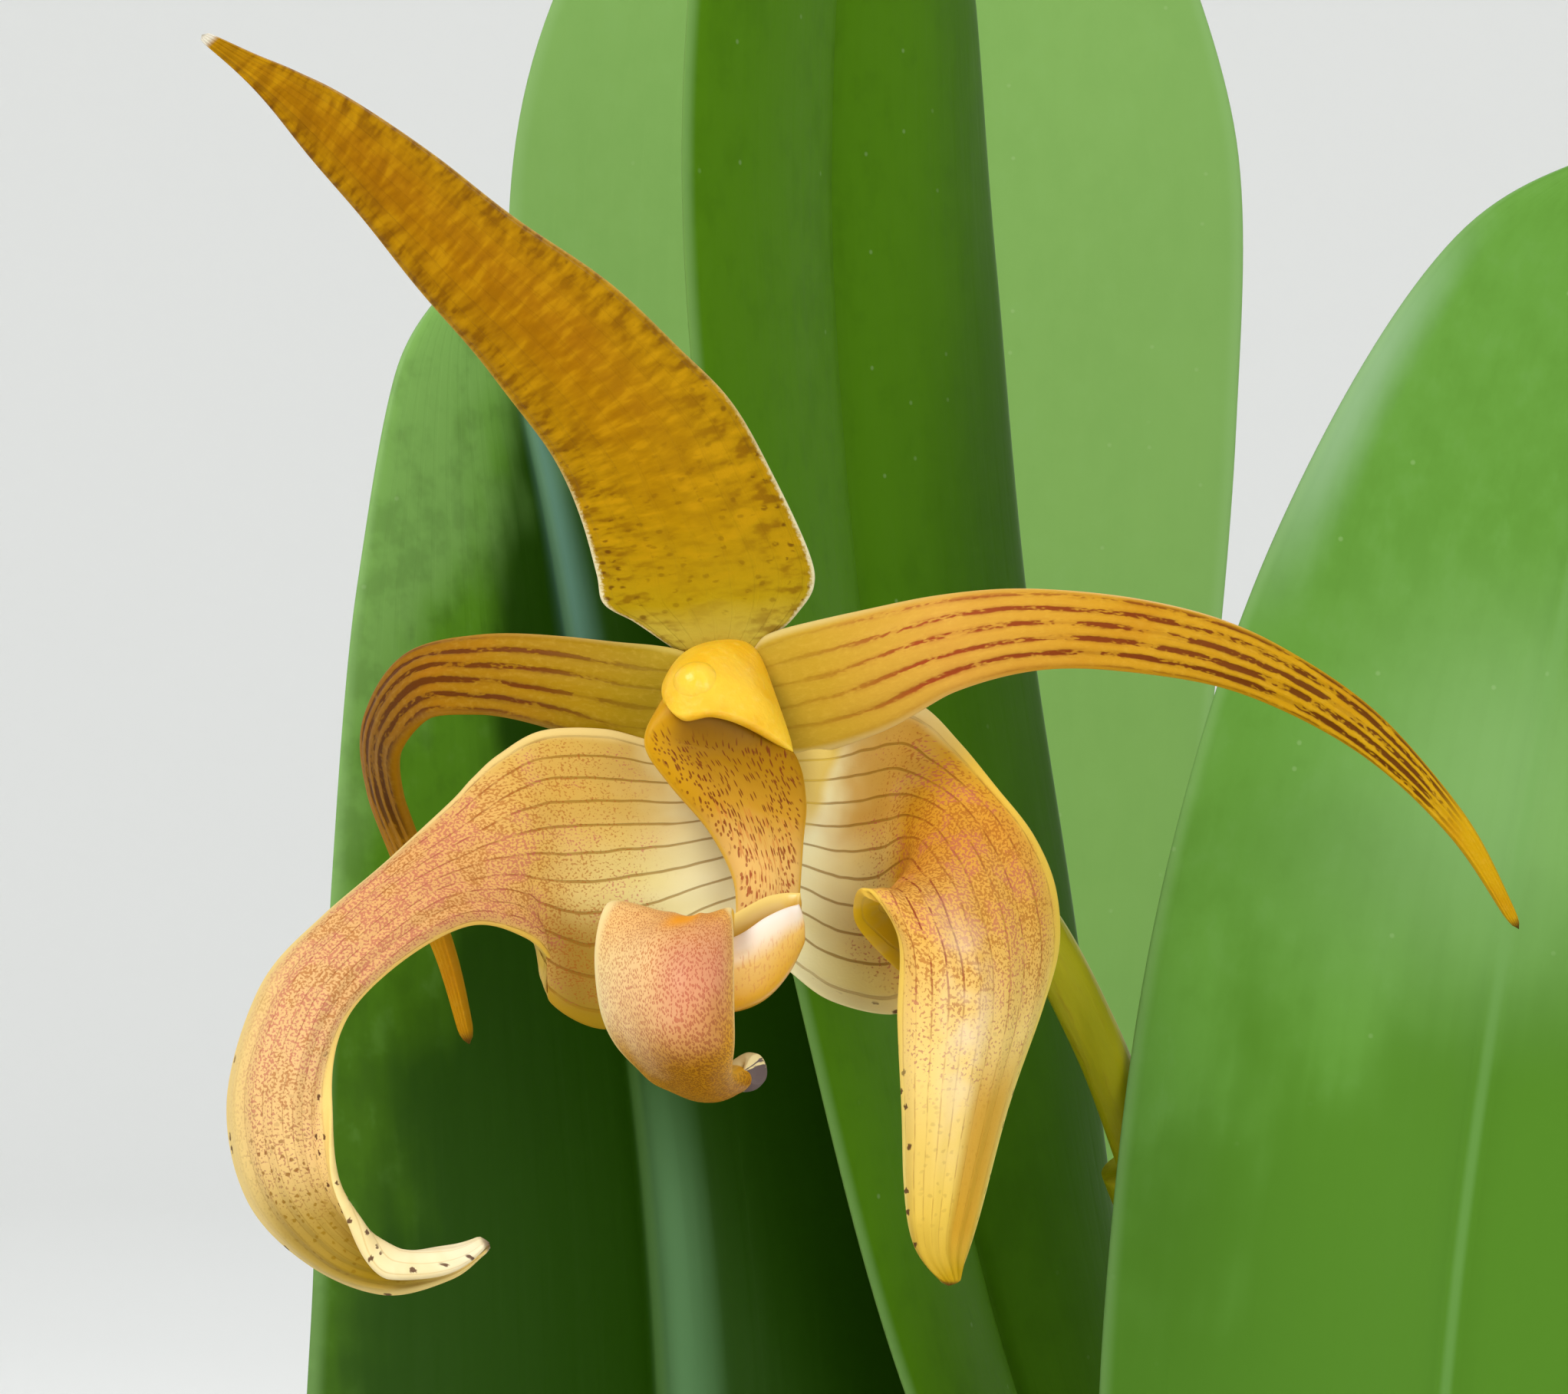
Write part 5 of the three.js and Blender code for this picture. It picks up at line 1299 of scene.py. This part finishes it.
    def ovary(place, angle):
        ribs = 1 + 0.06 * np.cos(angle * 6) * (1 - place) ** 2
        return PEDICEL_RADIUS * (1 + 0.5 * (1 - place) ** 3) * ribs

    piece("pedicel_fine", limb(np.array(PEDICEL) + HUB, ovary, 36, 120), stem,
          ["pedicel_with_ovary"])

    def scape(place, angle):
        lift = np.where(place < BRACT["share"], BRACT["lift"] * (1 - place / BRACT["share"] / 2), 0)
        for foot_at in SCAPE_SHEATHS:
            inside = (place >= foot_at) & (place < foot_at + SHEATH["share"])
            lift = np.where(inside, SHEATH["lift"] * (1 - (place - foot_at) / SHEATH["share"]), lift)
        return SCAPE_RADIUS * (1 + 0.15 * place) + lift

    piece("scape_fine", limb(np.array(SCAPE) + HUB, scape, 32, 260), stem, ["scape"])


def anther():
    """The cap: a rounded dome with a shallow cleft down its front."""
    around, rings = 48, 32
    lat, lon = np.meshgrid(np.linspace(0, math.pi, rings + 1)[1:-1], circle(around), indexing="ij")
    ball = np.stack([np.sin(lat) * np.cos(lon), np.sin(lat) * np.sin(lon), np.cos(lat)], -1)
    cleft = np.exp(-((ball[..., 0] - ANTHER["cleft_at"]) / ANTHER["cleft_width"]) ** 2)
    cleft = cleft * np.clip(-ball[..., 1], 0, 1)
    ball = ball * (1 - ANTHER["cleft"] * cleft)[..., None]
    points = ball * ANTHER["size"] + np.array(ANTHER["at"]) + HUB
    poles = np.array([[0, 0, 1], [0, 0, -1]]) * ANTHER["size"] + np.array(ANTHER["at"]) + HUB
    points = np.vstack([points.reshape(-1, 3), poles])
    return points, ring_faces(rings - 1, around), points * 0, points - HUB


def leaves():
    # Each leaf: its own green, a deep tone that is painted shade where dusk puts it, a painted sheen, and
    # painted reflections along the midrib.
    paints = [
        leaf_paint("leaf_left_green", (88, 140, 28), (32, 67, 0), (122, 168, 84), 1.0,
                   (0.5, -1, -0.99, -0.85), (-0.2, 1, 0.8, 0.95), 0.2,
                   [(0.02, 0.14, 0.3, 0.54, (92, 134, 88)), (-0.04, 0.1, 0.68, 0.9, (104, 148, 132))],
                   0.15, (0.56, 0.66, (62, 102, 8))),
        leaf_paint("leaf_centre_green", (76, 121, 12), (54, 94, 2), (80, 124, 22), 2.0,
                   (0.5, -0.5, -0.3, 0.3), (0, 1, 0.9, 1.0), 0.1, (), 0.05),
        leaf_paint("leaf_back_green", (126, 168, 88), (118, 161, 82), (130, 173, 98), 3.0,
                   (0.5, -0.5, -0.1, 0.5), (0, 1, 0.8, 1.0), 0.15),
        leaf_paint("leaf_right_green", (96, 147, 56), (78, 126, 32), (116, 162, 88), 4.0,
                   (0.1, -1, -0.68, -0.54), (0.0, 1, 1.2, 1.4), 0.45,
                   [(-0.5, 0.3, 0.6, 0.72, (126, 168, 100)), (-1.05, -0.86, 0.74, 0.86, (142, 176, 132))]),
        leaf_paint("leaf_low_green", (92, 144, 44), (66, 114, 22), (124, 168, 88), 5.0,
                   (0.5, -0.5, -0.2, 0.4), (-0.3, 1, 0.9, 1.3)),
        leaf_paint("leaf_front_green", (96, 148, 46), (72, 120, 26), (128, 170, 90), 6.0,
                   (0.5, -0.5, -0.2, 0.4), (-0.3, 1, 0.9, 1.3)),
    ]
    for k, (face, rows) in enumerate(LEAVES):
        def relief(u, v, s, t, turn=k):
            wave = LEAF_WAVE * np.sin(t * 0.055 + turn * 1.7) * np.abs(u) ** 2
            keel = LEAF_KEEL["depth"] * np.exp(-(s / LEAF_KEEL["width"]) ** 2)
            return wave - keel

        sheet = spine_sheet(rows, np.zeros(3), face, leaf_section)
        made = blade(sheet, 140, 56, LEAF_THICK, relief=relief, tip=0.015, margin=16)
        piece(f"leaf_{k + 1}_fine", made, paints[k], [f"leaf_{k + 1}"])


# Growth at the foot of the plant
def bulb_points(x, y, height):
    return [[x * (1 + BULB_LEAN * t), y * (1 + BULB_LEAN * t), RHIZOME["axis"] + height * t]
            for t in (0, 0.35, 0.7, 1)]


def bulbs():
    green, dry = bulb_paint(), husk_paint()
    profile = through([[share] for share in BULB_PROFILE])
    draw = np.random.default_rng(SEED)
    for k, (x, y, height, radius) in enumerate(BULBS):
        phase = draw.uniform(0, 6)

        def shape(place, angle):
            furrow = 0.035 * np.cos(angle * 6) + 0.012 * np.cos(angle * 13 + phase + place * 3)
            wrinkle = 0.006 * np.sin(angle * 31 + place * 5)
            return radius * profile(place)[..., 0] * (1 + furrow + wrinkle)

        made = limb(bulb_points(x, y, height), shape, 72, 48)
        piece(f"pseudobulb_{k + 1}_fine", made, green, [f"pseudobulb_{k + 1}"])
        husks = [husk(x, y, height, radius, profile, draw) for _ in range(HUSK["count"])]
        piece(f"dry_sheaths_{k + 1}", together(*husks)[:4], dry)


def husk(x, y, height, radius, profile, draw):
    """A strip of dry sheath that hugs the pseudobulb and frays out at its tip."""
    start = draw.uniform(0, FULL_TURN)
    spread = draw.uniform(*HUSK["spread"])
    reach = draw.uniform(*HUSK["reach"])
    tilt = draw.uniform(-HUSK["tilt"], HUSK["tilt"])

    def sheet(u, v):
        place = HUSK["foot"] + v * reach
        width = spread * (1 - v) ** 0.45
        angle = start + u * width + tilt * v
        stand = HUSK["stand"] + HUSK["fray"] * np.clip(v - 0.6, 0, 1) ** 1.5 + 0.2 * np.abs(u) * v
        r = radius * profile(place)[..., 0] * 1.03 + stand
        lean = 1 + BULB_LEAN * place
        z = RHIZOME["axis"] + height * place
        return np.stack([x * lean + r * np.cos(angle), y * lean + r * np.sin(angle), z], -1)

    return blade(sheet, 24, 12, HUSK_THICK)


def seeded(seed):
    """The random numbers that place the roots in the solids too."""
    full = 0xFFFFFFFF
    state = seed
    while True:
        state = (state + 0x6D2B79F5) & full
        t = ((state ^ (state >> 15)) * (1 | state)) & full
        t = ((t + (((t ^ (t >> 7)) * (61 | t)) & full)) & full) ^ t
        yield ((t ^ (t >> 14)) & full) / 2**32


def rhizome():
    parts = []
    for line in RHIZOME_LINES:
        stops = [BULBS[k][:2] for k in line]
        before, end = np.array(stops[-2], float), np.array(stops[-1], float)
        tip = end + unit(end - before) * RHIZOME["tip"]
        points = [[px, py, RHIZOME["axis"]] for px, py in [*stops, tip]]

        def shape(place, angle):
            ringed = 1 + 0.08 * np.cos(place * FULL_TURN * 13) + 0.03 * np.cos(angle * 5 + place * 40)
            return RHIZOME["radius"] * ringed * (1 - np.clip(place - 0.95, 0, 1) * 12)

        parts.append(limb(points, shape, 28, 240))
    draws = seeded(SEED)
    wood = len(parts)
    for x, y, _, _ in BULBS:
        for _ in range(ROOT["per_joint"]):
            away = next(draws) * FULL_TURN
            inward = -x * math.cos(away) - y * math.sin(away)
            to_wall = inward + math.sqrt(inward**2 + ROOT["ring"]**2 - x**2 - y**2)
            reach = min(ROOT["reach"], to_wall)
            swing = -ROOT["swing"] + 2 * ROOT["swing"] * next(draws)
            course = []
            for share, depth, bend in ROOT_COURSE:
                angle = away + swing * bend
                at = (x + reach * share * math.cos(angle), y + reach * share * math.sin(angle))
                course.append([*at, RHIZOME["axis"] - depth])

            def thin(place, angle):
                lump = 1 + 0.05 * np.cos(place * 37 + angle * 2)
                return ROOT["radius"] * (1.15 - 0.5 * place) * lump

            parts.append(limb(course, thin, 16, 60))
    made = together(*parts)
    made[4][:] = [0 if index < wood else 1 for index in made[4]]
    barks = [rhizome_paint(), root_paint()]
    piece("rhizome_with_roots_fine", made, barks, ["rhizome_with_roots"])


# Pot and bark mix
def revolved(profile, around):
    """Rings of points from (radius, height) rows that are turned round the upright axis."""
    angle = circle(around)
    return np.stack([profile[:, :1] * np.cos(angle), profile[:, :1] * np.sin(angle),
                     np.repeat(profile[:, 1:], around, 1)], -1)


def turned(profile, around):
    """A solid turned round the upright axis from (radius, height) points that start and end on it."""
    inner = np.array(profile[1:-1], float)
    ends = np.array([[0, 0, profile[0][1]], [0, 0, profile[-1][1]]], float)
    points = np.vstack([revolved(inner, around).reshape(-1, 3), ends])
    return points, ring_faces(len(inner), around), points * 0, points


def softened(profile, radius, steps=5):
    """The same profile with each corner between straight stretches rounded."""
    out = [profile[0]]
    for before, corner, after in zip(profile, profile[1:], profile[2:]):
        b, c, a = (np.array(q, float) for q in (before, corner, after))
        back, ahead = b - c, a - c
        cut = min(radius, np.linalg.norm(back) / 2.2, np.linalg.norm(ahead) / 2.2)
        first, last = c + unit(back) * cut, c + unit(ahead) * cut
        for k in range(steps + 1):
            f = k / steps
            out.append(tuple((1 - f) ** 2 * first + 2 * f * (1 - f) * c + f**2 * last))
    return [*out, profile[-1]]


def inner_radius(z):
    slope = (POT["neck"] - POT["foot"]) / (POT["height"] - POT["rim_height"])
    return POT["foot"] + slope * z - POT["wall"]


def pot():
    height, rim_foot = POT["height"], POT["height"] - POT["rim_height"]
    edge, top_radius = POT["edge"], POT["rim"] + POT["flare"]
    spread = POT["neck"] - POT["foot"]
    wall_rings = [(POT["foot"] + spread * f, rim_foot * f) for f in np.linspace(0, 1, 12)]
    inner_rings = [(inner_radius(z), z) for z in np.linspace(height, POT["floor"], 12)]
    profile = [
        (0, 0),
        *wall_rings,
        (POT["rim"], rim_foot),
        (top_radius, height),
        *inner_rings,
        (0, POT["floor"]),
    ]
    made = piece("pot_fine", turned(softened(profile, edge * 1.2), 160), clay_paint(), ["pot"])
    for k in range(DRAIN["count"]):
        angle = (k + 0.5) / DRAIN["count"] * FULL_TURN
        at = (DRAIN["ring"] * math.cos(angle) * MM, DRAIN["ring"] * math.sin(angle) * MM, 0)
        bpy.ops.mesh.primitive_cylinder_add(vertices=48, radius=DRAIN["radius"] * MM,
                                            depth=POT["floor"] * 3 * MM, location=at)
        cutter = bpy.context.object
        cut = made.modifiers.new("drain", "BOOLEAN")
        cut.operation, cut.object, cut.solver = "DIFFERENCE", cutter, "EXACT"
        bpy.context.view_layer.objects.active = made
        bpy.ops.object.modifier_apply(modifier=cut.name)
        bpy.data.objects.remove(cutter)
    made.data.set_sharp_from_angle(angle=math.radians(40))


def mound(r, reach):
    """Height of the bark mix at a distance from the pot's centre line."""
    places, heights = [0, reach * MEDIUM["shoulder"], reach], [1, MEDIUM["shoulder_rise"], 0]
    return MEDIUM["top"] + MEDIUM["dome"] * np.interp(r, places, heights)


def lumps(base, sizes, spots, draw, rough, tilt):
    """Many irregular lumps made from one base mesh, with a tone and a grain for each."""
    base_points, base_faces = base
    points, faces, shares, grains = [], [], [], []
    for k, spot in enumerate(spots):
        size = np.array([draw.uniform(*pair) for pair in sizes]) / 2
        waves = draw.uniform(0.6, 2.2, (3, 3))
        phases = draw.uniform(0, 6, 3)
        bend = np.stack([np.sin(base_points @ waves[j] * 1.7 + phases[j]) for j in range(3)], 1)
        corner = 1 + rough * draw.uniform(-1, 1, (len(base_points), 1))
        shaped = base_points * corner + rough * 0.9 * bend
        local = shaped * size
        turn = draw.uniform(0, FULL_TURN)
        lean, roll = draw.uniform(-tilt, tilt), draw.uniform(-tilt, tilt)
        cz, sz, cx, sx, cy, sy = (f(a) for a in (turn, lean, roll) for f in (math.cos, math.sin))
        spin = np.array([[cz, -sz, 0], [sz, cz, 0], [0, 0, 1]])
        pitch = np.array([[1, 0, 0], [0, cx, -sx], [0, sx, cx]])
        sway = np.array([[cy, 0, sy], [0, 1, 0], [-sy, 0, cy]])
        placed = local @ (spin @ pitch @ sway).T + spot
        faces += [[i + k * len(base_points) for i in face] for face in base_faces]
        points.append(placed)
        tone = draw.uniform(0, 1)
        shares.append(np.tile([tone, 0, 0], (len(base_points), 1)))
        grains.append(local + draw.uniform(0, 400, 3))
    return np.vstack(points), faces, np.vstack(shares), np.vstack(grains)


def base_block(cuts, roundness):
    block = bmesh.new()
    bmesh.ops.create_cube(block, size=2)
    bmesh.ops.subdivide_edges(block, edges=block.edges, cuts=cuts, use_grid_fill=True)
    points = np.array([v.co for v in block.verts])
    faces = [[v.index for v in f.verts] for f in block.faces]
    block.free()
    ball = unit(points)
    return points * (1 - roundness) + ball * roundness * 1.2, faces


def scattered(draw, radius):
    """A random spot on a disc: its distance from the centre, x and y."""
    r = radius * math.sqrt(draw.uniform())
    angle = draw.uniform(0, FULL_TURN)
    return r, r * math.cos(angle), r * math.sin(angle)


def bark_mix():
    low = POT["floor"] + MEDIUM["under"]
    gap = MEDIUM["gap"]
    reach = inner_radius(MEDIUM["top"]) - gap
    top = [(r, mound(r, reach)) for r in np.linspace(reach, 0, 14)[:-1]]
    plug = turned([(0, low), (inner_radius(low) - gap, low), *top, (0, mound(0, reach))], 96)
    draw = np.random.default_rng(SEED + 1)
    spots = []
    while len(spots) < CHIPS["count"]:
        r, x, y = scattered(draw, reach - CHIPS["off_wall"])
        inside = any(math.hypot(x - bx, y - by) < radius * 0.8 for bx, by, _, radius in BULBS)
        if not inside:
            spots.append((x, y, mound(r, reach) + draw.uniform(*CHIPS["rise"])))
    chips = lumps(base_block(2, 0.25), CHIPS["sizes"], spots, draw, 0.16, 0.4)
    made = together(plug, chips)
    piece("bark_mix_fine", made, [soil_paint(), bark_paint()], ["potting_medium"], smooth=False)
    grains = []
    while len(grains) < PERLITE["count"]:
        r, x, y = scattered(draw, reach - PERLITE["off_wall"])
        grains.append((x, y, mound(r, reach) + draw.uniform(*PERLITE["rise"])))
    perlite = lumps(base_block(2, 0.8), PERLITE["sizes"], grains, draw, 0.2, 1.5)
    piece("perlite_grains", perlite, perlite_paint())
    moss(reach, draw)


def moss(reach, draw):
    """Small cushions of moss between the chips, each many short tapered leaves."""
    points, faces, shares = [], [], []
    wide, deep = MOSS["leaf"]
    for _ in range(MOSS["count"]):
        _, *centre = scattered(draw, reach - MOSS["off_wall"])
        size = draw.uniform(*MOSS["size"])
        for _ in range(int(MOSS["leaves"] * size)):
            off = draw.normal(0, size / 2.2, 2)
            x, y = off + centre
            if math.hypot(x, y) > reach - 1:
                continue
            crown = math.exp(-(off @ off) / size**2)
            foot = np.array([x, y, mound(math.hypot(x, y), reach) + 0.6])
            out = np.array([off[0], off[1], 0]) / size + draw.normal(0, 0.35, 3)
            tall = 1.2 + 2.6 * crown * draw.uniform(0.6, 1)
            tip = foot + np.array([out[0], out[1], 1.6]) * tall * 0.6
            middle = (foot + tip) / 2 + np.array([0, 0, 0.25 * tall])
            side = unit(np.cross(tip - foot, draw.normal(0, 1, 3))) * wide
            other = unit(np.cross(tip - foot, side)) * deep
            start = len(points)
            for centre_point, scale in ((foot, 1), (middle, 0.8)):
                points += [centre_point + side * scale, centre_point - side * 0.5 * scale + other * scale,
                           centre_point - side * 0.5 * scale - other * scale]
            points.append(tip)
            chance = draw.uniform()
            shares += [[0, 0, chance]] * 3 + [[0, 0.5, chance]] * 3 + [[0, 1, chance]]
            for i in range(3):
                n = (i + 1) % 3
                faces.append([start + i, start + n, start + 3 + n, start + 3 + i])
                faces.append([start + 3 + i, start + 3 + n, start + 6])
            faces.append([start + 2, start + 1, start])
    points = np.array(points)
    piece("moss_cushions", (points, faces, np.array(shares), points), moss_paint())


# Stage, lights and camera
def stage():
    """A pale round floor that curves up into a wall all round, out of the camera's way."""
    edge, curve, around = STAGE["floor"], STAGE["curve"], STAGE["around"]
    bend = [(edge + curve * math.sin(a), curve * (1 - math.cos(a)))
            for a in np.linspace(0, math.pi / 2, STAGE["steps"])]
    profile = np.array([(STAGE["middle"], 0.0), (STAGE["flat"], 0.0), *bend, (edge + curve, STAGE["wall"])])
    mesh = bpy.data.meshes.new("studio_floor")
    faces = ring_faces(len(profile), around, False)
    faces.append(list(range(around)))
    mesh.from_pydata((revolved(profile, around).reshape(-1, 3) * MM).tolist(), [], faces)
    mesh.materials.append(plain_paint("studio_floor", (240, 240, 237), 0.9))
    mesh.polygons.foreach_set("use_smooth", np.full(len(mesh.polygons), True))
    floor = add_object("studio_floor", mesh)


def light(name, at, aim, size, power, colour):
    lamp = bpy.data.lights.new(name, "AREA")
    lamp.shape, lamp.size, lamp.energy, lamp.color = "DISK", size, power, colour
    made = add_object(name, lamp)
    made.location = at
    made.rotation_euler = (Vector(aim) - Vector(at)).to_track_quat("-Z", "Y").to_euler()


def studio():
    scene = bpy.context.scene
    scene.view_settings.view_transform = "Standard"
    world = bpy.data.worlds.new("studio")
    world.use_nodes = True
    world.node_tree.nodes["Background"].inputs["Color"].default_value = SKY["colour"]
    world.node_tree.nodes["Background"].inputs["Strength"].default_value = SKY["strength"]
    scene.world = world
    for lamp in LIGHTS:
        light(*lamp)
    camera = bpy.data.cameras.new("camera")
    camera.sensor_width = SENSOR
    camera.lens = SENSOR * CAMERA_DISTANCE / (PHOTO_SIZE[0] / PHOTO_SCALE)
    camera.clip_start, camera.clip_end = 0.01, 30
    made = add_object("camera", camera)
    made.location = (HUB + (CAMERA_ASIDE, -CAMERA_DISTANCE, -CAMERA_BELOW)) * MM
    made.rotation_euler = (math.pi / 2, 0, 0)
    scene.camera = made


studio()
stage()
flower()
leaves()
bulbs()
rhizome()
pot()
bark_mix()
